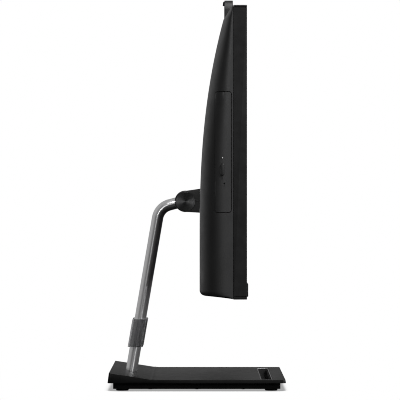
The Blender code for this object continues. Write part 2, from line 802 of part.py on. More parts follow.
def motherboard():
    board = box(
        "motherboard",
        (BOARD_X[0], BOARD_Y[0], BOARD_Z[0]),
        (BOARD_X[1], BOARD_Y[1], BOARD_Z[1]),
        "board_green",
    )
    top = BOARD_Y[1]
    chips = (
        ((0.072, 0.272), (0.094, 0.284), 0.0040),
        ((0.100, 0.195), (0.118, 0.211), 0.0012),
        ((0.198, 0.156), (0.230, 0.161), 0.0050),
        ((0.200, 0.168), (0.214, 0.182), 0.0014),
        ((0.166, 0.2005), (0.233, 0.2045), 0.0046),
        ((0.166, 0.2735), (0.233, 0.2775), 0.0046),
    )
    for i, (low, high, height) in enumerate(chips):
        chip = box(f"chip_{i}", (low[0], top - 0.0005, low[1]), (high[0], top + height, high[1]))
        join(board, chip)


def module_card(name, x, z, chip_z):
    """A plug-in card lying over the board, with two chips on it."""
    card = box(name, (x[0], CARD_Y[0], z[0]), (x[1], CARD_Y[1], z[1]), "board_green")
    fifth = (x[1] - x[0]) / 5
    for i in (0, 1):
        low = (x[0] + fifth * (0.7 + 2.1 * i), CARD_CHIP_Y[0], chip_z[0])
        high = (low[0] + 1.4 * fifth, CARD_CHIP_Y[1], chip_z[1])
        join(card, box(f"{name}_chip_{i}", low, high))


def storage_and_cards():
    motherboard()
    module_card("memory_module_lower", (0.166, 0.2336), (0.205, 0.235), (0.209, 0.231))
    module_card("memory_module_upper", (0.166, 0.2336), (0.243, 0.273), (0.247, 0.269))
    module_card("ssd_module", (0.072, 0.094), (0.186, 0.266), (0.192, 0.258))
    module_card("wifi_module", (0.124, 0.146), (0.166, 0.196), (0.170, 0.190))
    cylinder(
        "coin_cell", 0.010, "Y", (0.108, 0.176), BOARD_Y[1] + GAP, BOARD_Y[1] + 0.0035, "steel", 28
    )
    box("hard_drive", *HARD_DRIVE, "aluminium", 0.0008)
    back, front = CAGE_Y
    low, high = HARD_DRIVE[0][2] - CAGE_MARGIN, HARD_DRIVE[1][2] + CAGE_MARGIN
    cage = [
        (back, low),
        (back, high),
        (front, high),
        (front, high - CAGE_SHEET),
        (back + CAGE_SHEET, high - CAGE_SHEET),
        (back + CAGE_SHEET, low + CAGE_SHEET),
        (front, low + CAGE_SHEET),
        (front, low),
    ]
    prism("hard_drive_cage", cage, "X", *CAGE_X, "steel")


def fan():
    centre = ((FAN_X[0] + FAN_X[1]) / 2, FAN_Z[0] + 0.036)
    housing = box(
        "fan_housing", (FAN_X[0], FAN_Y[0], FAN_Z[0]), (FAN_X[1], FAN_Y[1], FAN_Z[1]), "black_plastic"
    )
    cut(
        housing,
        cylinder("fan_well", ROTOR_R + 0.002, "Y", centre, FAN_Y[0] + 0.0015, 0, sides=40),
        box(
            "fan_outlet",
            (FAN_X[0] + 0.008, FAN_Y[0] + 0.0015, centre[1] + 0.01),
            (FAN_X[1] - 0.008, FAN_Y[1] - 0.0015, 0.38),
        ),
    )
    outline = []
    for i in range(FAN_BLADES):
        start = 360 / FAN_BLADES * i
        outline += arc(centre, ROTOR_HUB_R, start, start + 20, 2)
        outline += arc(centre, ROTOR_R, start + HUB_TO_BLADE, start + HUB_TO_BLADE + 5, 1)
    prism("fan_rotor", outline, "Y", FAN_Y[0] + 0.002, FAN_Y[1] - 0.001, "black_plastic")


def cooling():
    box("heatsink", (0.100, BOARD_Y[1] + GAP, 0.215), (0.160, -0.0300, 0.265), "aluminium", 0.0006)
    base_y, tip_y = FIN_Y
    comb = [(FIN_X, base_y)]
    for i in range(FINS):
        left = FIN_X + i * FIN_PITCH
        comb += [(left, tip_y), (left + FIN_T, tip_y)]
        if i < FINS - 1:
            comb += [(left + FIN_T, base_y + 0.001), (left + FIN_PITCH, base_y + 0.001)]
    comb += [(FIN_X + (FINS - 1) * FIN_PITCH + FIN_T, base_y)]
    prism("fin_stack", comb, "Z", *FIN_Z, "aluminium")
    route = [(0.104, 0.240), (0.128, 0.241), (0.1395, 0.252), (0.1415, 0.270), (0.1415, 0.368)]
    route += [(0.1455, 0.381), (0.156, 0.386), (0.222, 0.386)]
    curve = bpy.data.curves.new("heat_pipe", "CURVE")
    curve.dimensions = "3D"
    curve.bevel_depth = HEAT_PIPE_R
    curve.bevel_resolution = 2
    curve.use_fill_caps = True
    spline = curve.splines.new("POLY")
    spline.points.add(len(route) - 1)
    for point, (x, z) in zip(spline.points, route):
        point.co = (x, HEAT_PIPE_Y, z, 1)
    pipe = bpy.data.objects.new("heat_pipe", curve)
    place(pipe, "copper")


def port(name, x, thick, kind, mouth):
    """A socket that opens downwards at the board's lower edge: mouth is its (X, Y) opening."""
    low_y = BOARD_Y[1] + GAP
    shell = box(name, (x[0], low_y, PORT_Z[0]), (x[1], low_y + thick, PORT_Z[1]), kind)
    middle = ((x[0] + x[1]) / 2, low_y + thick / 2)
    low = (middle[0] - mouth[0] / 2, middle[1] - mouth[1] / 2)
    high = (middle[0] + mouth[0] / 2, middle[1] + mouth[1] / 2)
    cut(shell, box(f"{name}_mouth", (*low, BAY_Z[0]), (*high, PORT_Z[1] - PORT_BACK_WALL)))
    return low, high


def ports():
    bay = box(
        "port_bay",
        (BAY_X[0], BAY_Y[0], BAY_Z[0]),
        (BAY_X[1], BAY_Y[1], BAY_Z[1]),
        "black_plastic",
    )
    cut(
        bay,
        box(
            "port_bay_inside",
            (BAY_X[0] + BAY_WALL, BAY_Y[0] + BAY_WALL, BAY_Z[0] + BAY_WALL),
            (BAY_X[1] - BAY_WALL, 0, BAY_Z[1] - BAY_WALL),
        ),
    )
    sockets = (
        ("dc_jack", (0.0800, 0.0900), 0.0095, "black_plastic", (0.0062, 0.0062)),
        ("hdmi_port", (0.0970, 0.1130), 0.0070, "steel", (0.0142, 0.0050)),
        ("lan_port", (0.1200, 0.1365), 0.0140, "steel", (0.0120, 0.0090)),
        ("usb_port_1", (0.1435, 0.1575), 0.0072, "steel", (0.0124, 0.0054)),
        ("usb_port_2", (0.1645, 0.1785), 0.0072, "steel", (0.0124, 0.0054)),
        ("audio_jack", (0.1860, 0.1930), 0.0060, "black_plastic", (0.0036, 0.0036)),
    )
    for name, x, thick, kind, mouth in sockets:
        low, high = port(name, x, thick, kind, mouth)
        hole_low = (low[0] - GAP, low[1] - GAP, BAY_Z[1] - 2 * BAY_WALL)
        hole_high = (high[0] + GAP, high[1] + GAP, BAY_Z[1] + BAY_WALL)
        cut(bay, box(f"{name}_cut", hole_low, hole_high))


# --- Neck and hinge ---------------------------------------------------------------------


def neck_outline(inset):
    """Side view of the neck: a round end about the hinge, flaring to the rear cover."""
    centre = (HINGE_Y, HINGE_Z)
    top = (NECK_TOP_EDGE[0], NECK_TOP_EDGE[1] - inset)
    bottom = (NECK_BOTTOM_EDGE[0], NECK_BOTTOM_EDGE[1] + inset)
    return [bottom] + arc(centre, NECK_R - inset, -97, 97, 16) + [top]


def neck():
    inside = prism(
        "neck_inside",
        [(-0.02, NECK_BOTTOM_EDGE[1] + NECK_WALL)]
        + neck_outline(NECK_WALL)
        + [(-0.02, NECK_TOP_EDGE[1] - NECK_WALL)],
        "X",
        -NECK_HALF_W + NECK_WALL,
        NECK_HALF_W - NECK_WALL,
    )
    reach = 0.04
    swing = [(HINGE_Y, HINGE_Z)] + arc((HINGE_Y, HINGE_Z), reach, *SLOT_SWING, 8)
    slot_half = TUBE_HALF_W + 0.0012
    slot = prism("neck_tube_slot", swing, "X", -slot_half, slot_half)
    cap_seats = [
        cylinder(f"cap_seat_{n}", CAP_R + GAP, "X", (HINGE_Y, HINGE_Z), low, high, sides=48)
        for n, low, high in (
            ("left", -0.04, -NECK_HALF_W + 0.0008),
            ("right", NECK_HALF_W - 0.0008, 0.04),
        )
    ]
    for name, keep in (
        ("neck_cover_upper", (HINGE_Z - 0.03, HINGE_Z + NECK_SPLIT)),
        ("neck_cover_lower", (HINGE_Z - NECK_SPLIT, HINGE_Z + 0.03)),
    ):
        shell = prism(
            name, neck_outline(0), "X", -NECK_HALF_W, NECK_HALF_W, "black_plastic", 0.0006
        )
        away = box(f"{name}_other_half", (-0.05, -0.05, keep[0]), (0.05, 0.05, keep[1]))
        smooth(cut(shell, inside, slot, *cap_seats, away), 30)
    for side, name in ((-1, "left"), (1, "right")):
        low, high = sorted((side * (NECK_HALF_W - 0.0005), side * (NECK_HALF_W + CAP_RAISED)))
        cap = cylinder(
            f"neck_cap_{name}", CAP_R, "X", (HINGE_Y, HINGE_Z), low, high, "hinge_cap_metal", 48
        )
        bevel(cap, 0.0003, 1)


def hinge():
    """The shaft is fixed to the tube; the bracket's two lugs turn round its thinner ends."""
    axis = (HINGE_Y, HINGE_Z)
    shaft = cylinder("hinge_shaft", SHAFT_R, "X", axis, -SHAFT_HALF_W, SHAFT_HALF_W, "steel", 32)
    ends = cylinder("shaft_ends", SHAFT_END_R, "X", axis, -SHAFT_END_X, SHAFT_END_X, sides=24)
    join(shaft, ends)
    bracket = box(
        "hinge_bracket",
        (-BRACKET_HALF_W, BRACKET_Y[0], BRACKET_Z[0]),
        (BRACKET_HALF_W, BRACKET_Y[1], BRACKET_Z[1]),
        "steel",
        0.0006,
    )
    root_y = sum(BRACKET_Y) / 2
    lug = [(root_y, HINGE_Z - LUG_R)] + arc(axis, LUG_R, -90, 90, 12) + [(root_y, HINGE_Z + LUG_R)]
    for side in (-1, 1):
        low, high = sorted((side * LUG_INNER_X, side * (LUG_INNER_X + LUG_T)))
        join(bracket, prism(f"lug_{side}", lug, "X", low, high))
    eye = cylinder(
        "lug_eye", SHAFT_END_R + RUNNING_GAP, "X", (HINGE_Y, HINGE_Z), -0.05, 0.05, sides=24
    )
    cut(bracket, eye)
    foot_y = CHASSIS_Y[1] + GAP
    half = [
        (HAT_WEB_X - HAT_SHEET, HAT_TOP_Y - HAT_SHEET),
        (HAT_WEB_X - HAT_SHEET, foot_y),
        (HAT_FOOT_X, foot_y),
        (HAT_FOOT_X, foot_y + HAT_SHEET),
        (HAT_WEB_X, foot_y + HAT_SHEET),
        (HAT_WEB_X, HAT_TOP_Y),
    ]
    hat = half + [(-x, y) for x, y in reversed(half)]
    prism("mount_bracket", hat, "Z", *HAT_Z, "steel")


# --- Stand ------------------------------------------------------------------------------


def leg_y(z):
    return LEG_Y_AT_DESK - LEG_LEAN * z


def tube_route(start_z):
    """Centre line of the stand tube in (Y, Z), from start_z on the leg to the hinge."""
    lean = math.atan(LEG_LEAN)
    arm = Vector((math.cos(ARM_DROP), -math.sin(ARM_DROP)))
    hinge_point = Vector(ARM_END)
    up = Vector((-math.sin(lean), math.cos(lean)))
    # The corner is where the line of the leg meets the line of the arm.
    reach = (leg_y(hinge_point.y) - hinge_point.x) / (arm.x + LEG_LEAN * arm.y)
    corner = hinge_point + arm * reach
    turn = math.pi / 2 - lean - ARM_DROP
    tangent = TUBE_BEND_R * math.tan(turn / 2)
    first = corner - up * tangent
    centre = first + Vector((-up.y, up.x)) * TUBE_BEND_R
    start = math.degrees(math.atan2(first.y - centre.y, first.x - centre.x))
    bend = arc(centre, TUBE_BEND_R, start, start + math.degrees(turn), 10)
    return [(leg_y(start_z), start_z)] + bend + [tuple(hinge_point)]


def oval_tube(name, kind, grow, start_z, hollow):
    """An oval tube along the route: a round tube stretched sideways."""
    curve = bpy.data.curves.new(name, "CURVE")
    curve.dimensions = "3D"
    curve.bevel_depth = TUBE_HALF_T + grow
    curve.bevel_resolution = 8
    curve.use_fill_caps = not hollow
    route = tube_route(start_z)
    spline = curve.splines.new("POLY")
    spline.points.add(len(route) - 1)
    for point, (y, z) in zip(spline.points, route):
        point.co = (0, y, z, 1)
    obj = bpy.data.objects.new(name, curve)
    bpy.context.scene.collection.objects.link(obj)
    made = curve_to_mesh(obj, name, kind)
    stretch = (TUBE_HALF_W + grow) / (TUBE_HALF_T + grow)
    made.data.transform(Matrix.Diagonal((stretch, 1, 1, 1)))
    if hollow:
        wall = made.modifiers.new("wall", "SOLIDIFY")
        wall.thickness = TUBE_WALL
        wall.offset = -1
    return made


def stand_tube():
    tube = oval_tube("stand_tube", "brushed_tube", 0, 0.0, True)
    cut(
        tube,
        box("tube_trim", (-0.05, 0.04, -0.03), (0.05, 0.12, FLANGE[1][2] + GAP)),
        cylinder("shaft_saddle", SHAFT_R + GAP, "X", (HINGE_Y, HINGE_Z), -0.05, 0.05, sides=32),
        box("tube_end_trim", (-0.05, -0.02, 0.19), (0.05, HINGE_Y, 0.25)),
    )
    smooth(tube, 30)


def cable_clip():
    """A flat loop snapped over the leg, open at the back, with a cable pocket at each end."""
    low_z, high_z = CLIP_Z
    size = ((-CLIP_HALF_W, -CLIP_HALF_T), (CLIP_HALF_W, CLIP_HALF_T))
    clip = prism(
        "cable_clip", rounded_rectangle(*size, 0.0045, 5), "Z", low_z, high_z, "smoke_plastic"
    )
    inner = rounded_rectangle(
        (size[0][0] + CLIP_WALL, size[0][1] + CLIP_WALL),
        (size[1][0] - CLIP_WALL, size[1][1] - CLIP_WALL),
        0.0025,
    )
    hollow = prism("clip_inside", inner, "Z", 0.04, 0.09)
    mouth = box(
        "clip_mouth", (-CLIP_MOUTH_HALF_W, 0, 0.04), (CLIP_MOUTH_HALF_W, 0.02, 0.09)
    )
    # Lean the clip with the leg, keeping its ends level. The mesh is centred on its own height.
    middle = (low_z + high_z) / 2
    for piece, z in ((clip, middle), (hollow, 0.065), (mouth, 0.065)):
        lean = Matrix.Identity(4)
        lean[1][2] = -LEG_LEAN
        piece.data.transform(lean)
        piece.location.y += leg_y(z)
    cut(clip, hollow, mouth)
    smooth(clip, 30)


def top_z(y):
    """Height of the ramp's surface at y."""
    return PLATE_TOP_Z + (RAMP_TOP_Z - PLATE_TOP_Z) * (y - RAMP_START_Y) / (RAMP_END_Y - RAMP_START_Y)


def base():
    base_plate()
    slot_parts()
    base_pan()
    ballast_and_flange()
    feet()


def base_plate():
    """The top plate, with a ramp at the back that holds the foot of the tube."""
    profile = [
        (BASE_FRONT_Y, PLATE_BOTTOM_Z),
        (BASE_BACK_Y, PLATE_BOTTOM_Z),
        (RAMP_END_Y, RAMP_TOP_Z),
        (RAMP_START_Y + CREASE_HALF, PLATE_TOP_Z + CREASE_LIFT),
        (RAMP_START_Y - CREASE_HALF, PLATE_TOP_Z),
        (BASE_FRONT_Y + 0.0006, PLATE_TOP_Z),
    ]
    side = BASE_W / 2
    plate = prism("base_plate", profile, "X", -side, side, "base_paint")
    plan = rounded_rectangle((-side, BASE_FRONT_Y), (side, BASE_BACK_Y), BASE_CORNER_R, 5)
    boolean(plate, prism("plate_plan", plan, "Z", 0, RAMP_TOP_Z + 0.01), "INTERSECT")
    bevel(plate, 0.0005)
    low_y, high_y = CAVITY_Y
    cavity = [
        (low_y, 0),
        (high_y + 0.002, 0),
        (high_y, top_z(high_y) - PLATE_SKIN),
        (low_y, top_z(low_y) - PLATE_SKIN),
    ]
    rim = (SLOT_X[0] - TRIM_W - GAP, SLOT_Y[0] - TRIM_W - GAP, PLATE_TOP_Z - TRIM_H - GAP)
    far = (SLOT_X[1] + TRIM_W + GAP, SLOT_Y[1] + TRIM_W + GAP, RAMP_TOP_Z)
    cut(
        plate,
        prism("plate_cavity", cavity, "X", -side + PLATE_SKIN, side - PLATE_SKIN),
        oval_tube("tube_hole", None, 0.0004, 0.0, False),
        box("plate_slot", (SLOT_X[0], SLOT_Y[0], 0), (SLOT_X[1], SLOT_Y[1], RAMP_TOP_Z)),
        box("trim_seat", rim, far),
    )


def slot_parts():
    """The bright trim round the slot, and the rubber trough below it with a stop at one end."""
    trim = box(
        "slot_trim",
        (SLOT_X[0] - TRIM_W, SLOT_Y[0] - TRIM_W, PLATE_TOP_Z - TRIM_H),
        (SLOT_X[1] + TRIM_W, SLOT_Y[1] + TRIM_W, PLATE_TOP_Z),
        "aluminium",
    )
    cut(
        trim,
        box(
            "trim_hole",
            (SLOT_X[0] + GAP, SLOT_Y[0] + GAP, 0),
            (SLOT_X[1] - GAP, SLOT_Y[1] - GAP, RAMP_TOP_Z),
        ),
    )
    low_z, high_z = LINER_BOTTOM_Z, PLATE_TOP_Z - TRIM_H - GAP
    liner = box(
        "phone_slot_liner",
        (SLOT_X[0] + GAP, SLOT_Y[0] + GAP, low_z),
        (SLOT_X[1] - GAP, SLOT_Y[1] - GAP, high_z),
        "rubber",
    )
    inset = GAP + LINER_WALL
    cut(
        liner,
        box(
            "liner_inside",
            (SLOT_X[0] + LINER_STOP, SLOT_Y[0] + inset, low_z + LINER_WALL),
            (SLOT_X[1] - inset, SLOT_Y[1] - inset, RAMP_TOP_Z),
        ),
    )


def base_pan():
    """The plastic pan under the plate, with a round seat for each foot."""
    low, high = (-PAN_HALF_W, PAN_FRONT_Y), (PAN_HALF_W, PAN_BACK_Y)
    pan = prism(
        "base_bottom_cover",
        rounded_rectangle(low, high, PAN_CORNER_R),
        "Z",
        PAN_BOTTOM_Z,
        PLATE_BOTTOM_Z - GAP,
        "black_plastic",
    )
    inner_low = (low[0] + PAN_WALL, low[1] + PAN_WALL)
    inner_high = (high[0] - PAN_WALL, high[1] - PAN_WALL)
    inside = rounded_rectangle(inner_low, inner_high, PAN_CORNER_R - PAN_WALL / 2)
    cut(pan, prism("pan_inside", inside, "Z", PAN_BOTTOM_Z + PAN_WALL, PLATE_TOP_Z))
    for at, name in foot_places():
        seat = cylinder(f"foot_seat_{name}", FOOT_R + 0.0004, "Z", at, 0, FOOT_H + GAP, sides=28)
        cut(pan, seat)


def ballast_and_flange():
    """The steel weight in the pan, and the tube's flange screwed down on it."""
    ballast = box("ballast_plate", *BALLAST, "steel", 0.0005)
    flange = box("tube_flange", *FLANGE, "steel")
    head_z = FLANGE[1][2] + GAP
    for side, name in ((-1, "left"), (1, "right")):
        at = (side * SCREW_AT[0], SCREW_AT[1])
        screw = cylinder(
            f"flange_screw_{name}", SCREW_HEAD_R, "Z", at, head_z, head_z + SCREW_HEAD_H, "steel", 20
        )
        shank = cylinder(f"screw_shank_{name}", SCREW_R, "Z", at, SCREW_FOOT_Z, head_z + 0.0005, sides=16)
        join(screw, shank)
        hole = cylinder(f"screw_hole_{name}", SCREW_HOLE_R, "Z", at, 0.0, RAMP_TOP_Z, sides=16)
        cut(flange, hole)
        cut(ballast, hole)


def foot_places():
    """(X, Y) and name of each foot."""
    return [
        ((side * FOOT_X, y), f"{row}_{name}")
        for y, row in ((FOOT_FRONT_Y, "front"), (FOOT_BACK_Y, "rear"))
        for side, name in ((-1, "left"), (1, "right"))
    ]


def feet():
    for at, name in foot_places():
        foot = cylinder(f"foot_{name}", FOOT_R, "Z", at, 0, FOOT_H, "rubber", 28)
        bevel(foot, 0.0004, 1)


def main():
    front_frame()
    speaker_grille()
    panel_and_chassis()
    rear_cover()
    disc_drive()
    webcam()
    power_button()
    storage_and_cards()
    fan()
    cooling()
    ports()
    neck()
    hinge()
    stand_tube()
    cable_clip()
    base()


main()
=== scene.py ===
"""Looks of the all-in-one PC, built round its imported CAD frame.

Frame: +Z up, origin on the desk under the base. The screen faces -Y and the user's left is -X.
Only the neck is a little rounder than its node. The CAD nodes that stay get finished materials
and edges.
"""

import math

import bmesh
import bpy
from mathutils import Matrix, Vector


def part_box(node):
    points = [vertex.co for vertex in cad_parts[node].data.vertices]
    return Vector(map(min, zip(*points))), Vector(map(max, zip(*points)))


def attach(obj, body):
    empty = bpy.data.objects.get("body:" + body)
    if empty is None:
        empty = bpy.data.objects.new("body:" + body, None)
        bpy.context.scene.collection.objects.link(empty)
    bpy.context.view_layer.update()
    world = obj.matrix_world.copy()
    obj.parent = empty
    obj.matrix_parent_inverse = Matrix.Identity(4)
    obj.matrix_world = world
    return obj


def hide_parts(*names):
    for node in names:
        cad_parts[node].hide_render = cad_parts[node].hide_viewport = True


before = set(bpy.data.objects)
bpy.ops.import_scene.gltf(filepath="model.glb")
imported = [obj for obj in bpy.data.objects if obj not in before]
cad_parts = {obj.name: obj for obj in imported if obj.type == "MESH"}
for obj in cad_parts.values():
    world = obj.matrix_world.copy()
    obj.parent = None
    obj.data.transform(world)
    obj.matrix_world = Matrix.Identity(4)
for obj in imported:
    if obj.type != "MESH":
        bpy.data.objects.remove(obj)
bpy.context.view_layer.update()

# Rear cover: a bulged shell, deepest below its middle
COVER_DEEPEST_Z = 0.181
COVER_TOP_DROP = 0.0253
COVER_DROP_SPAN = 0.245
COVER_DROP_POWER = 2.5
COVER_TOP_EDGE = 0.0012
COVER_TOP_SLOPE = 0.68
COVER_TOP_CHAMFER = 0.0145
COVER_FOOT_R = 0.006
COVER_FOOT_SLOPE = 0.094
COVER_LOW_ZS = [0.160, 0.140]  # two rows of points below the deepest place
COVER_SIDE_R = 0.050
COVER_SIDE_POWER = 2.4
COVER_WALL = 0.0022
LOCK_SLOT = ((-0.2035, 0.1485), (-0.1965, 0.1515))  # lowest and highest (X, Z)
NECK_WINDOW = ((-0.0292, 0.2127), (0.0292, 0.2384))
BAY_WALL = 0.0016  # from the port bay's outside to the window over it
VENT_W = 0.005
VENT_STEP = 0.012
TOP_VENTS = (0.1025, 0.388, 0.020, 11)  # first X, lowest Z, height, how many
LOW_VENTS = (-0.2325, 0.152, 0.026, 9)

# Front frame
FRAME_WALL = 0.0022
FRAME_LIP = 0.0012
FRAME_CORNER_R = 0.0012
FRAME_FRONT_R = 0.0005
FRAME_BACK_R = 0.0002
WINDOW_W = 0.527
WINDOW_H = 0.2965
WINDOW_DROP = 0.008  # from the top of the frame to the window
WINDOW_CORNER_R = 0.0008
BUTTON_GAP = 0.0004
PARTING_DEPTH = 0.0009
TOP_PARTING = (0.0026, 0.0011)  # from the frame's end to the line, half the line's width
LOW_PARTING = (0.0036, 0.0005)

# Speaker bar and speakers
SOUND_Z = 0.1215
SOUND_XS = (-0.18, -0.13, 0.13, 0.18)
SOUND_HALF = (0.02, 0.0035)  # half the size of each opening behind the bar, in X and Z
GRILLE_LOW_R = 0.0009
GRILLE_HIGH_R = 0.0014
GRILLE_SLOTS = 10
GRILLE_SLOT_X = 0.118  # the innermost slot
GRILLE_SLOT_STEP = 0.008
GRILLE_SLOT_HALF = (0.002, 0.0017)
SPEAKER_X = 0.155
SPEAKER_Z = 0.1275

# Fan
FAN_MIDDLE = (0.190, 0.336)  # X and Z

# Webcam
SLIDE_GAP = 0.0005  # also used round the laser sled
CAM_BACK_Y = -0.03385
CAM_CROWN = 0.001
CAM_SHOULDER = 0.0105
CAM_SHOULDER_POWER = 6
CAM_LIP_HALF_W = 0.008
CAM_LIP_Z = 0.4652
CAM_SLOT_Z = 0.4330
CAM_EDGE = 0.0009
CAM_SOUND_X = 0.018

# Drive bezel, a piece of the cover's surface
BEZEL_CORNER_R = 0.0022
BEZEL_EDGE = 0.0005
BEZEL_GAP = 0.0008
REAR_GAP = 0.0003  # the gap is tighter along the bezel's rear edge
PIN_HOLE_Y = -0.0314
PIN_HOLE_DROP = 0.0157  # below the middle of the eject button
BUSY_LIGHT_RISE = 0.0133  # above it

# Drive tray
DISC_WELL_R = 0.0605
SMALL_WELL_R = 0.041
HUB_HOLE_R = 0.0082
TRAY_FLOOR_Y = -0.0300
CATCH_RING_R = 0.0047
SLED_TRAVEL = 0.027

# Hinge and stand tube
HINGE_Y = 0.0140
HINGE_Z = 0.2244
NECK_R = 0.0124
NECK_TOP_EDGE = (-0.0036, 0.2404)
NECK_BOTTOM_EDGE = (-0.0029, 0.2108)
NECK_WALL = 0.002
NECK_END_GAP = 0.00005
NECK_END_SPARE = 0.0015  # made too long by this, then cut to the cover's shape
NECK_SIDE_R = 0.0131  # a little rounder than the CAD's, to fit the outline
NECK_SIDE_LIFT = 0.0004
SLOT_SWING = (-58, 62)
LEG_LEAN = 0.1711
LEG_Y_AT_DESK = 0.08325
ARM_DROP = math.radians(14.5)
ARM_LIFT = 0.0011  # how far above the hinge centre the arm's line ends
TUBE_BEND_R = 0.020
TUBE_HALF_T = 0.007
TUBE_HALF_W = 0.020
TUBE_WALL = 0.0018
SHAFT_R = 0.0093  # with its gap
NECK_SPLIT = 0.00015  # half the gap between the two neck covers

# Cable clip
CLIP_HALF_W = 0.030
CLIP_HALF_T = 0.0093
CLIP_WALL = 0.002
CLIP_CORNER_R = 0.0045
CLIP_MOUTH = 0.017  # half the opening at the back

# Base
PLATE_CORNER_R = 0.0045
RAMP_START_Y = 0.0528
RAMP_END_BACK = 0.0017  # from the top of the ramp to the back of the plate
PLATE_TOP_Z = 0.01345
CREASE_HALF = 0.004
CREASE_LIFT = 0.00045
CREASE_STEPS = 4
PLATE_SKIN = 0.0028
HOLLOW_YS = (0.056, 0.0995)
TRIM_W = 0.0011
TRIM_OVER_SLOT = 0.0008  # how much of the trim rests on the plate
TRIM_GAP = 0.0003
LINER_WALL = 0.0012
LINER_STOP = 0.0127
LINER_RIBS = 19
PAN_SCREW_X = 0.118
PAN_SCREW_YS = (-0.055, 0, 0.055)
PAN_SCREW_R = 0.0026

CLEAR = 0.01  # how far cutters reach past what they cut

SQUARE_TO = {
    "X": Matrix(((0, 0, 1, 0), (1, 0, 0, 0), (0, 1, 0, 0), (0, 0, 0, 1))),
    "Y": Matrix(((1, 0, 0, 0), (0, 0, 1, 0), (0, 1, 0, 0), (0, 0, 0, 1))),
    "Z": Matrix.Identity(4),
}


# --- Mesh helpers -----------------------------------------------------------------------


def mesh_object(name, work):
    """A new object from a bmesh, with its normals facing out."""
    bmesh.ops.recalc_face_normals(work, faces=work.faces)
    mesh = bpy.data.meshes.new(name)
    work.to_mesh(mesh)
    work.free()
    obj = bpy.data.objects.new(name, mesh)
    bpy.context.scene.collection.objects.link(obj)
    return obj


def box(name, low, high):
    """A plain block between its lowest and highest corners."""
    work = bmesh.new()
    low, high = Vector(low), Vector(high)
    shape = Matrix.Translation((low + high) / 2) @ Matrix.Diagonal((*(high - low), 1))
    bmesh.ops.create_cube(work, size=1, matrix=shape)
    return mesh_object(name, work)


def loft(name, rings, closed=False, caps=True):
    """Faces between rings that have the same number of points."""
    work = bmesh.new()
    made = [[work.verts.new(p) for p in ring] for ring in rings]
    pairs = list(zip(made, made[1:]))
    if closed:
        pairs.append((made[-1], made[0]))
    for ring, following in pairs:
        for i in range(len(ring)):
            j = (i + 1) % len(ring)
            work.faces.new((ring[i], ring[j], following[j], following[i]))
    if caps and not closed:
        work.faces.new(made[0])
        work.faces.new(made[-1])
    return mesh_object(name, work)


def prism(name, outline, axis, low, high):
    """A flat outline pushed along an axis: its points are the other two axes, in order."""
    turn = SQUARE_TO[axis]
    return loft(name, [[turn @ Vector((u, v, level)) for u, v in outline] for level in (low, high)])


def revolve(name, profile, axis, centre, steps=48):
    """A closed profile of (radius, place along the axis), turned about an axis through centre."""
    turn = Matrix.Translation(centre) @ SQUARE_TO[axis]
    work = bmesh.new()
    rings = []
    for radius, along in profile:
        count = steps if radius > 1e-7 else 1
        turns = [2 * math.pi * i / count for i in range(count)]
        rings.append(
            [
                work.verts.new(turn @ Vector((radius * math.cos(t), radius * math.sin(t), along)))
                for t in turns
            ]
        )
    for ring, following in zip(rings, rings[1:] + rings[:1]):
        for i in range(steps):
            corners = [
                ring[i % len(ring)],
                ring[(i + 1) % len(ring)],
                following[(i + 1) % len(following)],
                following[i % len(following)],
            ]
            distinct = list(dict.fromkeys(corners))
            if len(distinct) > 2:
                work.faces.new(distinct)
    return mesh_object(name, work)


def bore(radius, low, high):
    """The profile of a plain round pin or hole."""
    return [(0, low), (radius, low), (radius, high), (0, high)]


def middle_of(node):
    """The middle of a CAD node's box."""
    low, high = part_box(node)
    return (low + high) / 2


def arc(centre, radius, start, end, steps):
    """Points on a circle from start to end, in degrees."""
    angles = [math.radians(start + (end - start) * i / steps) for i in range(steps + 1)]
    return [(centre[0] + radius * math.cos(a), centre[1] + radius * math.sin(a)) for a in angles]


def rounded_rectangle(low, high, radius, steps=6):
    """Points round a rectangle with round corners."""
    corners = (
        ((high[0] - radius, high[1] - radius), 0),
        ((low[0] + radius, high[1] - radius), 90),
        ((low[0] + radius, low[1] + radius), 180),
        ((high[0] - radius, low[1] + radius), 270),
    )
    return [p for centre, start in corners for p in arc(centre, radius, start, start + 90, steps)]


def outline_of(low, high, axes, grow, radius, steps=6):
    """The rounded outline of a box seen along one axis, grown by a gap. axes are the other two."""
    start = [getattr(low, axis) - grow for axis in axes]
    end = [getattr(high, axis) + grow for axis in axes]
    return rounded_rectangle(start, end, radius, steps)


def ellipse(half_u, half_v, steps):
    """Points round an ellipse."""
    turns = [2 * math.pi * i / steps for i in range(steps)]
    return [(half_u * math.cos(t), half_v * math.sin(t)) for t in turns]


def merge(name, *objects):
    """One object that holds several separate closed meshes."""
    work = bmesh.new()
    for obj in objects:
        work.from_mesh(obj.data)
        bpy.data.objects.remove(obj)
    return mesh_object(name, work)


def bake(obj):
    """Applies the modifiers to the mesh."""
    bpy.context.view_layer.update()
    evaluated = obj.evaluated_get(bpy.context.evaluated_depsgraph_get())
    mesh = bpy.data.meshes.new_from_object(evaluated)
    obj.modifiers.clear()
    obj.data = mesh
    return obj


def boolean(obj, other, operation):
    """Joins, cuts or intersects obj with another object, which is removed."""
    modifier = obj.modifiers.new(operation.lower(), "BOOLEAN")
    modifier.operation = operation
    modifier.solver = "MANIFOLD"
    modifier.object = other
    bake(obj)
    bpy.data.objects.remove(other)
    return obj


def carve(obj, *cutters):
    """Cuts obj by each cutter, and removes the cutters."""
    for cutter in cutters:
        boolean(obj, cutter, "DIFFERENCE")
    return obj


def bevel(obj, width, segments=3, angle=35):
    """Rounds the edges that are sharper than the angle."""
    modifier = obj.modifiers.new("edges", "BEVEL")
    modifier.width = width
    modifier.segments = segments
    modifier.limit_method = "ANGLE"
    modifier.angle_limit = math.radians(angle)
    return bake(obj)


def smooth(obj, angle=35):
    """Smooth shading, with edges kept sharp beyond the angle."""
    obj.data.shade_smooth()
    obj.data.set_sharp_from_angle(angle=math.radians(angle))
    return obj


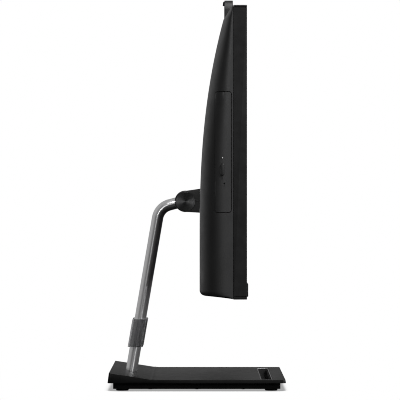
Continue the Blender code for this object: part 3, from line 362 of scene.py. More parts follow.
def place(obj, body, key, *nodes, angle=35):
    """Shades obj, gives it its material and its CAD body, and hides the nodes it stands for."""
    smooth(obj, angle)
    obj.data.materials.clear()
    obj.data.materials.append(MATERIALS[key])
    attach(obj, body)
    if nodes:
        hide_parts(*nodes)
    return obj


# --- Materials --------------------------------------------------------------------------


def noise(tree, vector, scale, detail):
    """Noise from 0 to 1 over a vector or a single value."""
    node = tree.nodes.new("ShaderNodeTexNoise")
    node.inputs["Scale"].default_value = scale
    node.inputs["Detail"].default_value = detail
    tree.links.new(vector, node.inputs["Vector"])
    return node.outputs["Fac"]


def remap(tree, value, low, high, source=(0.3, 0.7)):
    """value, with the source range stretched to low..high."""
    node = tree.nodes.new("ShaderNodeMapRange")
    node.inputs["From Min"].default_value = source[0]
    node.inputs["From Max"].default_value = source[1]
    node.inputs["To Min"].default_value = low
    node.inputs["To Max"].default_value = high
    tree.links.new(value, node.inputs["Value"])
    return node.outputs["Result"]


def bump(tree, height, distance, strength):
    """A normal tilted by the height, which stands for distance in metres."""
    node = tree.nodes.new("ShaderNodeBump")
    node.inputs["Distance"].default_value = distance
    node.inputs["Strength"].default_value = strength
    tree.links.new(height, node.inputs["Height"])
    return node.outputs["Normal"]


def mix_colours(tree, factor, first, second):
    """Blends two colours, or a colour output with a colour."""
    node = tree.nodes.new("ShaderNodeMix")
    node.data_type = "RGBA"
    colours = [s for s in node.inputs if s.type == "RGBA"]
    for socket, colour in zip(colours, (first, second)):
        if isinstance(colour, bpy.types.NodeSocket):
            tree.links.new(colour, socket)
        else:
            socket.default_value = (*colour, 1)
    tree.links.new(factor, node.inputs["Factor"])
    return next(s for s in node.outputs if s.type == "RGBA")


def shades(colour, spread):
    """A darker and a lighter version of a colour."""
    return [c * (1 - spread) for c in colour], [c * (1 + spread) for c in colour]


def worn_and_highlit_edges(tree, radius):
    """0 on flat surfaces, rising to 1 at edges sharper than the radius: the mask of edge wear and
    painted highlight.
    """
    rounded = tree.nodes.new("ShaderNodeBevel")
    rounded.samples = 4
    rounded.inputs["Radius"].default_value = radius
    geometry = tree.nodes.new("ShaderNodeNewGeometry")
    compare = tree.nodes.new("ShaderNodeVectorMath")
    compare.operation = "DOT_PRODUCT"
    tree.links.new(rounded.outputs["Normal"], compare.inputs[0])
    tree.links.new(geometry.outputs["Normal"], compare.inputs[1])
    return remap(tree, compare.outputs["Value"], 1.0, 0.0, source=(0.85, 0.995))


def new_material(name, constants):
    """A Principled material with the given values on its own sockets."""
    made = bpy.data.materials.new(name)
    made.use_nodes = True
    tree = made.node_tree
    shader = tree.nodes["Principled BSDF"]
    for socket, value in constants.items():
        shader.inputs[socket].default_value = value
    return made, tree, shader


def surface(name, colour, roughness, grain=0.0006, depth=0.00003, edge_wear_and_highlight=0.25, **constants):
    """A moulded, painted or cast surface.

    It has fine grain, blotchy gloss, slightly uneven colour and paler edges, which are partly wear
    and partly a painted highlight. grain is the size of the texture's bumps and depth their height,
    in metres; the edge wear argument says how much paler the edges are.
    """
    named = {socket.replace("_", " "): value for socket, value in constants.items()}
    made, tree, shader = new_material(name, named)
    on_object = tree.nodes.new("ShaderNodeTexCoord").outputs["Object"]
    uneven = mix_colours(tree, noise(tree, on_object, 45.0, 4.0), *shades(colour, 0.10))
    if edge_wear_and_highlight:
        # paler edges: partly wear, partly a painted highlight along every sharp edge
        paler_worn_highlit_edges = [c * (1 + edge_wear_and_highlight) + 0.01 * edge_wear_and_highlight for c in colour]
        uneven = mix_colours(tree, worn_and_highlit_edges(tree, 0.0006), uneven, paler_worn_highlit_edges)
    tree.links.new(uneven, shader.inputs["Base Color"])
    smears = noise(tree, on_object, 90.0, 5.0)
    gloss = remap(tree, smears, roughness * 0.9, roughness * 1.12)
    tree.links.new(gloss, shader.inputs["Roughness"])
    bumps = noise(tree, on_object, 1 / grain, 2.0)
    tree.links.new(bump(tree, bumps, depth, 0.6), shader.inputs["Normal"])
    return made


def line_finish(tree, shader, lines, colour, spread, roughness, gloss_spread, relief):
    """Colour, gloss and relief of metal that all follow one pattern of fine lines."""
    tint = mix_colours(tree, lines, *shades(colour, spread))
    tree.links.new(tint, shader.inputs["Base Color"])
    gloss = remap(tree, lines, roughness * (1 - gloss_spread), roughness * (1 + gloss_spread))
    tree.links.new(gloss, shader.inputs["Roughness"])
    tree.links.new(bump(tree, lines, 0.00001, relief), shader.inputs["Normal"])


def brushed(name, colour, roughness, anisotropy, scale):
    """Metal with fine scratches. scale says how often they repeat along each texture axis."""
    constants = {"Metallic": 0.76, "Anisotropic": anisotropy}
    made, tree, shader = new_material(name, constants)
    coordinates = tree.nodes.new("ShaderNodeTexCoord").outputs["UV"]
    stretch = tree.nodes.new("ShaderNodeMapping")
    stretch.inputs["Scale"].default_value = scale
    tree.links.new(coordinates, stretch.inputs["Vector"])
    scratches = noise(tree, stretch.outputs["Vector"], 1.0, 4.0)
    line_finish(tree, shader, scratches, colour, 0.16, roughness, 0.2, 0.35)
    tangent = tree.nodes.new("ShaderNodeTangent")
    tangent.direction_type = "UV_MAP"
    tangent.uv_map = "UVMap"
    tree.links.new(tangent.outputs["Tangent"], shader.inputs["Tangent"])
    return made


def turned(name, colour, roughness, centre):
    """Metal turned on a lathe about the X axis through centre: fine rings round the middle."""
    constants = {"Metallic": 1.0, "Anisotropic": 0.8, "Anisotropic Rotation": 0.144}
    made, tree, shader = new_material(name, constants)
    on_object = tree.nodes.new("ShaderNodeTexCoord").outputs["Object"]
    shift = tree.nodes.new("ShaderNodeMapping")
    shift.inputs["Location"].default_value = (0, -centre[0], -centre[1])
    shift.inputs["Scale"].default_value = (0, 1, 1)
    tree.links.new(on_object, shift.inputs["Vector"])
    length = tree.nodes.new("ShaderNodeVectorMath")
    length.operation = "LENGTH"
    tree.links.new(shift.outputs["Vector"], length.inputs[0])
    rings = noise(tree, length.outputs["Value"], 6000.0, 2.0)
    line_finish(tree, shader, rings, colour, 0.08, roughness, 0.15, 0.12)
    tangent = tree.nodes.new("ShaderNodeTangent")
    tangent.direction_type = "RADIAL"
    tangent.axis = "X"
    tree.links.new(tangent.outputs["Tangent"], shader.inputs["Tangent"])
    return made


def circuit_board(name):
    """Green lacquer over a pattern of copper tracks."""
    made = surface(name, (0.012, 0.060, 0.028), 0.38, grain=0.0009, depth=0.00002)
    tree = made.node_tree
    turn = tree.nodes.new("ShaderNodeMapping")
    turn.inputs["Rotation"].default_value = (math.pi / 2, 0, 0)
    tree.links.new(tree.nodes.new("ShaderNodeTexCoord").outputs["Object"], turn.inputs["Vector"])
    tracks = tree.nodes.new("ShaderNodeTexBrick")
    tracks.inputs["Scale"].default_value = 160.0
    tracks.inputs["Mortar Size"].default_value = 0.03
    tracks.inputs["Color1"].default_value = (0.012, 0.060, 0.028, 1)
    tracks.inputs["Color2"].default_value = (0.010, 0.050, 0.024, 1)
    tracks.inputs["Mortar"].default_value = (0.030, 0.120, 0.055, 1)
    tree.links.new(turn.outputs["Vector"], tracks.inputs["Vector"])
    tree.links.new(tracks.outputs["Color"], tree.nodes["Principled BSDF"].inputs["Base Color"])
    return made


MATERIALS = {
    "frame": surface("frame_plastic", (0.0032, 0.0032, 0.0033), 0.45, grain=0.0005, IOR=1.32),
    "grille": surface("grille_plastic", (0.0030, 0.0030, 0.0032), 0.45, grain=0.0004, IOR=1.40),
    "cover": surface("cover_plastic", (0.0195, 0.0195, 0.0198), 0.40, grain=0.0007, IOR=1.36),
    "black": surface("black_plastic", (0.0022, 0.0022, 0.0023), 0.50, grain=0.0006, IOR=1.40),
    # the neck's plastic is lighter than the real part: painted light that makes up for the shade
    # the screen unit casts on it
    "neck": surface("neck_plastic_with_painted_light", (0.0400, 0.0400, 0.0405), 0.40, grain=0.0005, IOR=1.40),
    "rubber": surface(
        "rubber", (0.0012, 0.0012, 0.0012), 0.80, grain=0.0008, depth=0.00006, IOR=1.3
    ),
    "pan": surface("pan_plastic", (0.0025, 0.0025, 0.0025), 0.70, grain=0.0008, edge_wear_and_highlight=0, IOR=1.20),
    "paint": surface(
        "base_paint", (0.0045, 0.0045, 0.0045), 0.30, grain=0.00035, depth=0.00001, IOR=1.34
    ),
    "tube": brushed("brushed_tube", (0.76, 0.76, 0.765), 0.32, 0.4, (260.0, 5.0, 1.0)),
    "trim": surface("slot_trim_metal", (0.34, 0.34, 0.345), 0.30, grain=0.001, Metallic=1.0),
    "cap": turned("hinge_cap_metal", (0.090, 0.090, 0.091), 0.38, (HINGE_Y, HINGE_Z)),
    "steel": surface("steel_sheet", (0.50, 0.50, 0.50), 0.32, grain=0.002, Metallic=1.0),
    "aluminium": surface("satin_aluminium", (0.68, 0.68, 0.69), 0.34, grain=0.0012, Metallic=1.0),
    "copper": surface("bare_copper", (0.70, 0.36, 0.20), 0.28, grain=0.002, Metallic=1.0),
    "gold": surface("contact_gold", (0.80, 0.58, 0.22), 0.25, grain=0.001, Metallic=1.0),
    "panel": surface("panel_back", (0.33, 0.33, 0.34), 0.45, grain=0.001),
    "smoke": surface(
        "smoke_plastic",
        (0.28, 0.28, 0.285),
        0.12,
        grain=0.006,
        depth=0.000004,
        edge_wear_and_highlight=0,
        Transmission_Weight=0.92,
        IOR=1.12,
    ),
    "mark": surface("indicator_plastic", (0.35, 0.35, 0.35), 0.30, grain=0.001),
    "board": circuit_board("circuit_board"),
    "screen": surface(
        "screen_glass",
        (0.0045, 0.0048, 0.0055),
        0.22,
        grain=0.0004,
        depth=0.000004,
        Coat_Weight=0.3,
        Coat_Roughness=0.08,
    ),
    "lens": surface("lens_glass", (0.006, 0.006, 0.014), 0.06, grain=0.003, depth=0.000002),
}


# --- Camera, light and floor ------------------------------------------------------------

CAMERA_AT = (-3.6005, -0.00385, 0.2264)
LENS_MM = 263.6
SENSOR_MM = 36
WALL_STRENGTH = 0.36
AMBIENT_STRENGTH = 0.12


def camera():
    """Square on to the user's left side, 3.6 m from the middle of the screen."""
    data = bpy.data.cameras.new("camera")
    data.sensor_width = SENSOR_MM
    data.lens = LENS_MM
    data.clip_end = 50
    obj = bpy.data.objects.new("camera", data)
    bpy.context.scene.collection.objects.link(obj)
    obj.location = CAMERA_AT
    obj.rotation_euler = (math.pi / 2, 0, -math.pi / 2)
    bpy.context.scene.camera = obj


def softbox(name, location, aim_z, size, power):
    """A square light that faces the object at height aim_z and isn't seen by the camera."""
    data = bpy.data.lights.new(name, "AREA")
    data.shape = "RECTANGLE"
    data.size = size
    data.size_y = size
    data.energy = power
    obj = bpy.data.objects.new(name, data)
    bpy.context.scene.collection.objects.link(obj)
    obj.location = location
    toward = Vector((0, 0, aim_z)) - Vector(location)
    obj.rotation_euler = toward.to_track_quat("-Z", "Y").to_euler()
    obj.visible_camera = False


def combine(tree, operation, first, second):
    """Adds, multiplies or takes the larger of two outputs, or of an output and a number."""
    node = tree.nodes.new("ShaderNodeMath")
    node.operation = operation
    for socket, value in zip(node.inputs, (first, second)):
        if isinstance(value, bpy.types.NodeSocket):
            tree.links.new(value, socket)
        else:
            socket.default_value = value
    return node.outputs["Value"]


def room_light(tree):
    """How bright the room is each way: a pale wall behind the unit, dim ceiling, dark floor."""
    direction = tree.nodes.new("ShaderNodeTexCoord").outputs["Generated"]
    parts = tree.nodes.new("ShaderNodeSeparateXYZ")
    tree.links.new(direction, parts.inputs["Vector"])
    wall = remap(tree, parts.outputs["Y"], 0.0, WALL_STRENGTH, source=(-0.05, 0.45))
    far_side = remap(tree, parts.outputs["X"], 0.0, 1.0, source=(0.0, 0.55))
    low_part = remap(tree, parts.outputs["Z"], 1.0, 0.25, source=(0.30, 0.90))
    above = remap(tree, parts.outputs["Z"], 0.05, 1.0, source=(-0.20, -0.02))
    for factor in (far_side, low_part, above):
        wall = combine(tree, "MULTIPLY", wall, factor)
    ambient = combine(tree, "MULTIPLY", above, AMBIENT_STRENGTH)
    return combine(tree, "ADD", wall, ambient)


def studio():
    """White behind the object for the camera, and a soft dim room round it for everything else."""
    world = bpy.data.worlds.new("studio")
    bpy.context.scene.world = world
    world.use_nodes = True
    tree = world.node_tree
    room = tree.nodes["Background"]
    room.inputs["Color"].default_value = (1, 1, 1, 1)
    tree.links.new(room_light(tree), room.inputs["Strength"])
    backdrop = tree.nodes.new("ShaderNodeBackground")
    backdrop.inputs["Color"].default_value = (1, 1, 1, 1)
    path = tree.nodes.new("ShaderNodeLightPath").outputs
    straight = combine(tree, "MAXIMUM", path["Is Camera Ray"], path["Is Transmission Ray"])
    mix = tree.nodes.new("ShaderNodeMixShader")
    tree.links.new(straight, mix.inputs["Fac"])
    tree.links.new(room.outputs["Background"], mix.inputs[1])
    tree.links.new(backdrop.outputs["Background"], mix.inputs[2])
    tree.links.new(mix.outputs["Shader"], tree.nodes["World Output"].inputs["Surface"])
    softbox("overhead", (-0.2, 0, 2.6), aim_z=0.2, size=1.2, power=40)
    softbox("side", (-1.3, -1.5, 1.9), aim_z=0.25, size=0.8, power=150)
    softbox("fill", (-2.4, 0.9, 1.0), aim_z=0.2, size=0.8, power=12)
    softbox("front", (-1.3, -2.0, 0.35), aim_z=0.2, size=0.9, power=14)
    view = bpy.context.scene.view_settings
    view.view_transform = "Standard"
    view.look = "None"
    bpy.context.scene.cycles.filter_width = 1.0


def floor():
    """A white floor that glows by itself, with a painted shadow that darkens it where something
    stands just above it; it fades out.
    """
    work = bmesh.new()
    bmesh.ops.create_circle(work, cap_ends=True, segments=96, radius=0.9)
    disc = mesh_object("floor", work)
    made, tree, shader = new_material("white_floor", {"Roughness": 0.9})
    shader.inputs["Base Color"].default_value = (0, 0, 0, 1)
    shader.inputs["Specular IOR Level"].default_value = 0
    shader.inputs["Emission Color"].default_value = (1, 1, 1, 1)
    # painted shadow: the floor's glow drops where ambient occlusion finds something just above it
    painted_shadow_ao = tree.nodes.new("ShaderNodeAmbientOcclusion")
    painted_shadow_ao.samples = 16
    painted_shadow_ao.inputs["Distance"].default_value = 0.03
    glow_with_painted_shadow = remap(tree, painted_shadow_ao.outputs["AO"], 0.38, 1.0, source=(0.45, 0.62))
    tree.links.new(glow_with_painted_shadow, shader.inputs["Emission Strength"])
    reach = tree.nodes.new("ShaderNodeVectorMath")
    reach.operation = "LENGTH"
    tree.links.new(tree.nodes.new("ShaderNodeTexCoord").outputs["Object"], reach.inputs[0])
    fade = remap(tree, reach.outputs["Value"], 1.0, 0.0, source=(0.25, 0.70))
    tree.links.new(fade, shader.inputs["Alpha"])
    disc.data.materials.append(made)
    disc.visible_glossy = False
    disc.visible_diffuse = False


# --- Screen unit: frame and cover -------------------------------------------------------


def soft_slab(name, low, high, front_r, back_r):
    """An upright slab with round corners, its front and back edges rounded by their own radii."""
    rings = []
    for radius, face, inward in ((front_r, low.y, 1), (back_r, high.y, -1)):
        angles = [math.radians(90 * i / 6) for i in range(7)]
        for angle in angles[::inward]:
            inset = radius * (1 - math.sin(angle))
            y = face + inward * radius * (1 - math.cos(angle))
            lowest = (low.x + inset, low.z + inset)
            highest = (high.x - inset, high.z - inset)
            outline = rounded_rectangle(lowest, highest, FRAME_CORNER_R - inset, 8)
            rings.append([(x, y, z) for x, z in outline])
    return loft(name, rings)


def parting_lines(low, high):
    """Grooves across both sides of the frame, near its top and its bottom."""
    lines = []
    heights = ((high.z - TOP_PARTING[0], TOP_PARTING[1]), (low.z + LOW_PARTING[0], LOW_PARTING[1]))
    for side in (-1, 1):
        for z, half in heights:
            start = (side * high.x - PARTING_DEPTH, low.y + 0.001, z - half)
            end = (side * high.x + PARTING_DEPTH, high.y - 0.001, z + half)
            lines.append(box(f"line_{side}_{z}", start, end))
    return merge("parting_lines", *lines)


def sound_holes(low, high):
    """The openings in the frame behind the speaker bar."""
    half_x, half_z = SOUND_HALF
    holes = []
    for x in SOUND_XS:
        start, end = (x - half_x, SOUND_Z - half_z), (x + half_x, SOUND_Z + half_z)
        outline = rounded_rectangle(start, end, 0.002)
        holes.append(prism(f"sound_{x}", outline, "Y", low.y - CLEAR, high.y))
    return merge("sound_holes", *holes)


def front_frame():
    """A thin frame with rounded edges, a lip round the panel and a parting line near each end."""
    low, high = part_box("front_frame")
    piece = soft_slab("front_frame_shell", low, high, FRAME_FRONT_R, FRAME_BACK_R)
    window_top = high.z - WINDOW_DROP
    window = rounded_rectangle(
        (-WINDOW_W / 2, window_top - WINDOW_H), (WINDOW_W / 2, window_top), WINDOW_CORNER_R, 3
    )
    cam_low, cam_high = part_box("webcam_housing")
    button_hole = outline_of(*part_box("power_button"), "xy", BUTTON_GAP, 0.002)
    carve(
        piece,
        box(
            "pocket",
            (low.x + FRAME_WALL, low.y + FRAME_LIP, low.z + FRAME_WALL),
            (high.x - FRAME_WALL, high.y + CLEAR, high.z - FRAME_WALL),
        ),
        prism("window", window, "Y", low.y - CLEAR, high.y),
        prism("button_hole", button_hole, "Z", low.z - CLEAR, low.z + 0.004),
        sound_holes(low, high),
        parting_lines(low, high),
        box(
            "webcam_notch",
            (cam_low.x - SLIDE_GAP, cam_low.y - 0.0003, CAM_SLOT_Z),
            (cam_high.x + SLIDE_GAP, 0, high.z + CLEAR),
        ),
    )
    place(piece, "screen_unit", "frame", "front_frame")


def speaker_grille():
    """The bar across the chin: a rounded section with a row of pill-shaped slots at each end."""
    low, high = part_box("speaker_grille")
    section = [(high.y, low.z)]
    section += arc((low.y + GRILLE_LOW_R, low.z + GRILLE_LOW_R), GRILLE_LOW_R, 270, 180, 8)
    section += arc((low.y + GRILLE_HIGH_R, high.z - GRILLE_HIGH_R), GRILLE_HIGH_R, 180, 90, 8)
    section += [(high.y, high.z)]
    bar = bevel(prism("speaker_grille_bar", section, "X", low.x, high.x), 0.0004, 3)
    half_x, half_z = GRILLE_SLOT_HALF
    slots = []
    for side in (-1, 1):
        for i in range(GRILLE_SLOTS):
            x = side * (GRILLE_SLOT_X + GRILLE_SLOT_STEP * i)
            start, end = (x - half_x, SOUND_Z - half_z), (x + half_x, SOUND_Z + half_z)
            pill = rounded_rectangle(start, end, 0.0016)
            slots.append(prism(f"slot_{side}_{i}", pill, "Y", low.y - CLEAR, high.y + CLEAR))
    carve(bar, merge("slots", *slots))
    place(bar, "screen_unit", "grille", "speaker_grille")


def cover_depth(z, top, deepest):
    """How far the cover stands out behind its rim at a height."""
    rise = max(0.0, z - COVER_DEEPEST_Z)
    bulge = deepest - COVER_TOP_DROP * (rise / COVER_DROP_SPAN) ** COVER_DROP_POWER
    return min(bulge, COVER_TOP_EDGE + COVER_TOP_SLOPE * (top - z))


def cover_profile(top, foot, deepest):
    """(height, depth) down the middle of the rear cover."""
    edge = [top - 0.0003, top - COVER_TOP_CHAMFER * 0.5, top - COVER_TOP_CHAMFER]
    span = edge[-1] - COVER_DEEPEST_Z
    bulge = [edge[-1] - span * i / 30 for i in range(1, 31)] + COVER_LOW_ZS
    points = [(top, 0.0)] + [(z, cover_depth(z, top, deepest)) for z in edge + bulge]
    foot_depth = deepest - COVER_FOOT_R
    foot_z = foot + COVER_FOOT_SLOPE * foot_depth + COVER_FOOT_R
    points += arc((foot_z, foot_depth), COVER_FOOT_R, 90, 180, 10)
    return points + [(foot, 0.0)]


def cover_rows(wall):
    """Rows of points over the rear cover's surface, moved inwards by wall."""
    low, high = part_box("rear_cover")
    deepest = high.y - low.y
    middle = (high.z + low.z) / 2
    shrink = 1 - 2 * wall / (high.z - low.z)
    side = high.x - wall
    power = 2 / COVER_SIDE_POWER
    turns = [math.radians(90 * i / 26) for i in range(27)]
    section = [(COVER_SIDE_R * (1 - math.cos(a) ** power), math.sin(a) ** power) for a in turns]
    rows = []
    for z, depth in cover_profile(high.z, low.z, deepest):
        height = middle + (z - middle) * shrink
        inner = max(0.0, depth - wall)
        left = [(-side + inset, low.y + inner * share, height) for inset, share in section]
        rows.append(left + [(-x, y, h) for x, y, h in reversed(left)])
    return rows


def cover_shell(name):
    """The cover's outer and inner surfaces, joined round the rim."""
    work = bmesh.new()
    outer = [[work.verts.new(p) for p in row] for row in cover_rows(0)]
    inner = [[work.verts.new(p) for p in row] for row in cover_rows(COVER_WALL)]
    rows, columns = len(outer), len(outer[0])
    for i in range(rows - 1):
        for j in range(columns - 1):
            for skin in (outer, inner):
                work.faces.new((skin[i][j], skin[i][j + 1], skin[i + 1][j + 1], skin[i + 1][j]))
    rim = [(0, j) for j in range(columns)]
    rim += [(i, columns - 1) for i in range(1, rows)]
    rim += [(rows - 1, j) for j in range(columns - 2, -1, -1)]
    rim += [(i, 0) for i in range(rows - 2, 0, -1)]
    for (i, j), (k, m) in zip(rim, rim[1:] + rim[:1]):
        work.faces.new((outer[k][m], outer[i][j], inner[i][j], inner[k][m]))
    bmesh.ops.triangulate(work, faces=work.faces)
    return mesh_object(name, work)


def bezel_block(grow, grow_rear):
    """The space of the drive bezel, grown all round, and by another amount at its rear edge."""
    low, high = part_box("drive_bezel")
    start, end = (low.y - grow, low.z - grow), (high.y + grow_rear, high.z + grow)
    outline = rounded_rectangle(start, end, BEZEL_CORNER_R + grow)
    return prism("bezel_block", outline, "X", low.x - 0.03, high.x)


def upright_slots(first_x, low_z, rise, count):
    """Upright slots with round ends, side by side, as one cutter."""
    slots = []
    for i in range(count):
        left = first_x + VENT_STEP * i
        start, end = (left, low_z), (left + VENT_W, low_z + rise)
        outline = rounded_rectangle(start, end, VENT_W * 0.46, 5)
        slots.append(prism(f"slot_{i}", outline, "Y", -0.038, 0.01))
    return merge("upright_slots", *slots)


def rear_cover():
    """The bulged cover, cut for the drive, neck, webcam, ports, lock and vents."""
    cover = cover_shell("rear_cover_shell")
    cam_low, cam_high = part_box("webcam_housing")
    front_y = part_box("front_frame")[0].y
    (neck_x, neck_z), (neck_far_x, neck_far_z) = NECK_WINDOW
    port_window = outline_of(*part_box("port_bay"), "xz", -BAY_WALL, 0.002)
    lock = rounded_rectangle(*LOCK_SLOT, 0.001)
    carve(
        cover,
        bezel_block(BEZEL_GAP, BEZEL_GAP),
        box("neck_window", (neck_x, -0.02, neck_z), (neck_far_x, 0.01, neck_far_z)),
        box(
            "webcam_slot",
            (cam_low.x - SLIDE_GAP, front_y, CAM_SLOT_Z),
            (cam_high.x + SLIDE_GAP, CAM_BACK_Y + SLIDE_GAP, cam_high.z),
        ),
        box(
            "webcam_lip_slot",
            (-CAM_LIP_HALF_W - SLIDE_GAP, front_y, CAM_SLOT_Z),
            (CAM_LIP_HALF_W + SLIDE_GAP, cam_high.y + SLIDE_GAP, cam_high.z),
        ),
        prism("port_window", port_window, "Y", -0.012, 0.01),
        prism("lock_slot", lock, "Y", -0.02, 0.01),
        upright_slots(*TOP_VENTS),
        upright_slots(*LOW_VENTS),
    )
    place(cover, "screen_unit", "cover", "rear_cover", angle=28)


# --- Disc drive -------------------------------------------------------------------------


def pill_outline(low, high, grow):
    """Side view of the eject button, grown by a gap."""
    return outline_of(low, high, "yz", grow, ((high.y - low.y) / 2 + grow) * 0.97, 8)


def drive_bezel():
    """The tray's bezel follows the cover's surface, with a soft edge all round."""
    bezel = cover_shell("drive_bezel_skin")
    boolean(bezel, bezel_block(0, BEZEL_GAP - REAR_GAP), "INTERSECT")
    low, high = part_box("eject_button")
    middle = middle_of("eject_button")
    light_at = (0, middle.y, middle.z + BUSY_LIGHT_RISE)
    pin_at = (0, PIN_HOLE_Y, middle.z - PIN_HOLE_DROP)
    outside, inside = low.x - 0.02, high.x + CLEAR
    carve(
        bezel,
        prism("eject_hole", pill_outline(low, high, 0.0003), "X", outside, inside),
        revolve("pin_hole", bore(0.0009, outside, inside), "X", pin_at, 24),
        revolve("light_hole", bore(0.0007, outside, inside), "X", light_at, 24),
    )
    bevel(bezel, BEZEL_EDGE, 2, 50)
    place(bezel, "disc_tray", "cover", "drive_bezel")
    button = prism("eject_button_pill", pill_outline(low, high, 0), "X", low.x, high.x)
    bevel(button, 0.0006, 4)
    place(button, "eject_button", "black", "eject_button")
    light = revolve("busy_light", bore(0.0006, low.x + 0.0006, high.x), "X", light_at, 24)
    place(bevel(light, 0.0002), "disc_tray", "mark")


def drive_tray():
    """The tray: a disc well with a step for small discs, a hole for the hub and the sled's slot."""
    low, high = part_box("drive_tray")
    outline = outline_of(low, high, "xz", 0, 0.003)
    tray = bevel(prism("drive_tray_plate", outline, "Y", low.y, high.y), 0.0006, 2)
    hub = middle_of("disc_hub")
    centre = (hub.x, 0, hub.z)
    sled_low, sled_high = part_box("pickup_sled")
    front = low.y - CLEAR
    sled_high.x += SLED_TRAVEL
    sled_slot = outline_of(sled_low, sled_high, "xz", SLIDE_GAP, 0.001)
    carve(
        tray,
        revolve("disc_well", bore(DISC_WELL_R, front, low.y + 0.0012), "Y", centre, 128),
        revolve("small_well", bore(SMALL_WELL_R, front, low.y + 0.0016), "Y", centre, 96),
        revolve("hub_hole", bore(HUB_HOLE_R, front, TRAY_FLOOR_Y), "Y", centre, 48),
        prism("sled_slot", sled_slot, "Y", front, TRAY_FLOOR_Y),
    )
    place(tray, "disc_tray", "black", "drive_tray")


def disc_hub():
    """The hub that carries a disc: a stepped cone with three sprung catches."""
    low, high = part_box("disc_hub")
    radius = (high.x - low.x) / 2
    centre = middle_of("disc_hub")
    centre.y = 0
    front, back = low.y, high.y
    profile = [(0.003, front + 0.0014), (0.003, front), (0.0058, front), (0.0066, front + 0.0006)]
    profile += [(0.0072, front + 0.0016), (radius, front + 0.0022), (radius, back), (0, back)]
    profile += [(0, front + 0.0014)]
    hub = revolve("disc_hub_cone", profile, "Y", centre, 64)
    place(hub, "disc_hub", "black", "disc_hub")
    catches = []
    for i in range(3):
        turn = 2 * math.pi * i / 3 + 0.5
        at = centre + CATCH_RING_R * Vector((math.cos(turn), 0, math.sin(turn)))
        catch = [(0, front), (0.0008, front + 0.0001), (0.001, front + 0.0006)]
        catch.append((0, front + 0.0006))
        catches.append(revolve(f"catch_{i}", catch, "Y", at, 20))
    place(merge("hub_catches", *catches), "disc_hub", "steel")


# --- Webcam, power button ---------------------------------------------------------------


def crown_outline(low, high, steps=60):
    """Front view of the webcam: square feet and a crowned top with round shoulders."""
    points = [(low.x, low.z), (high.x, low.z)]
    for i in range(steps + 1):
        across = math.cos(math.pi * i / steps)
        fall = CAM_CROWN * across**2 + CAM_SHOULDER * abs(across) ** CAM_SHOULDER_POWER
        points.append((high.x * across, high.z - fall))
    return points


def webcam():
    """The camera that slides up: a soft-edged slab, a finger lip, a lens and two sound holes."""
    low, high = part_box("webcam_housing")
    slab = prism("webcam_slab", crown_outline(low, high), "Y", low.y, CAM_BACK_Y)
    bevel(slab, CAM_EDGE, 4)
    lip = [
        (CAM_BACK_Y - CAM_EDGE, CAM_LIP_Z),
        (high.y - 0.0005, CAM_LIP_Z),
        (high.y, CAM_LIP_Z + 0.0005),
        (high.y - 0.0002, high.z - 0.0022),
        (high.y - 0.0012, high.z - 0.0010),
        (CAM_BACK_Y - CAM_EDGE, high.z - CAM_EDGE),
    ]
    boolean(slab, prism("lip", lip, "X", -CAM_LIP_HALF_W, CAM_LIP_HALF_W), "UNION")
    lens_low, lens_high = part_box("webcam_lens")
    front, back = lens_low.y, lens_high.y
    radius = (lens_high.z - lens_low.z) / 2
    eye = (0, 0, middle_of("webcam_lens").z)
    outside = low.y - CLEAR
    rim, well = radius + 0.0012, radius + 0.0004
    seat = [(0, outside), (rim, outside), (rim, low.y + 0.0002), (well, low.y + 0.0006)]
    seat += [(well, low.y + 0.0022), (0, low.y + 0.0022)]
    sound = bore(0.0005, outside, low.y + 0.001)
    holes = [
        revolve(f"sound_hole_{x}", sound, "Y", (x, 0, eye[2]), 16)
        for x in (-CAM_SOUND_X, CAM_SOUND_X)
    ]
    carve(slab, revolve("lens_seat", seat, "Y", eye, 64), merge("sound_holes", *holes))
    place(slab, "webcam", "frame", "webcam_housing")
    glass = [(0, front), (0.002, front + 0.0001), (radius - 0.0011, front + 0.0004)]
    glass += [(radius - 0.0011, back), (0, back)]
    place(revolve("webcam_glass", glass, "Y", eye, 64), "webcam", "lens", "webcam_lens")
    ring = [(radius - 0.0010, front + 0.0006), (radius - 0.0007, front), (radius, front)]
    ring += [(radius, back), (radius - 0.0010, back)]
    place(revolve("webcam_ring", ring, "Y", eye, 64), "webcam", "grille")


def power_button():
    """A pill-shaped button under the frame."""
    low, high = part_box("power_button")
    outline = outline_of(low, high, "xy", 0, 0.0022, 8)
    button = bevel(prism("power_button_pill", outline, "Z", low.z, high.z), 0.0007, 3)
    place(button, "power_button", "black", "power_button")


# --- Neck and hinge ---------------------------------------------------------------------


def neck_outline(inset, reach=0.0):
    """Side view of the neck: a round end about the hinge, flaring to the rear cover."""
    centre = (HINGE_Y, HINGE_Z + NECK_SIDE_LIFT)
    top = (NECK_TOP_EDGE[0] - reach, NECK_TOP_EDGE[1] - inset)
    bottom = (NECK_BOTTOM_EDGE[0] - reach, NECK_BOTTOM_EDGE[1] + inset)
    return [bottom] + arc(centre, NECK_SIDE_R - inset, -97, 97, 48) + [top]


def neck_end_cut(side):
    """What is cut off the over-long neck, so that its sharp end follows the rear cover."""
    low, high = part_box("rear_cover")
    heights = [NECK_BOTTOM_EDGE[1] - 0.01 + 0.005 * i for i in range(11)]
    rim_y = low.y + NECK_END_GAP
    touching = [(rim_y + cover_depth(z, high.z, high.y - low.y), z) for z in heights]
    outline = [(-0.03, heights[0])] + touching + [(-0.03, heights[-1])]
    return prism("neck_end", outline, "X", -side - 0.01, side + 0.01)


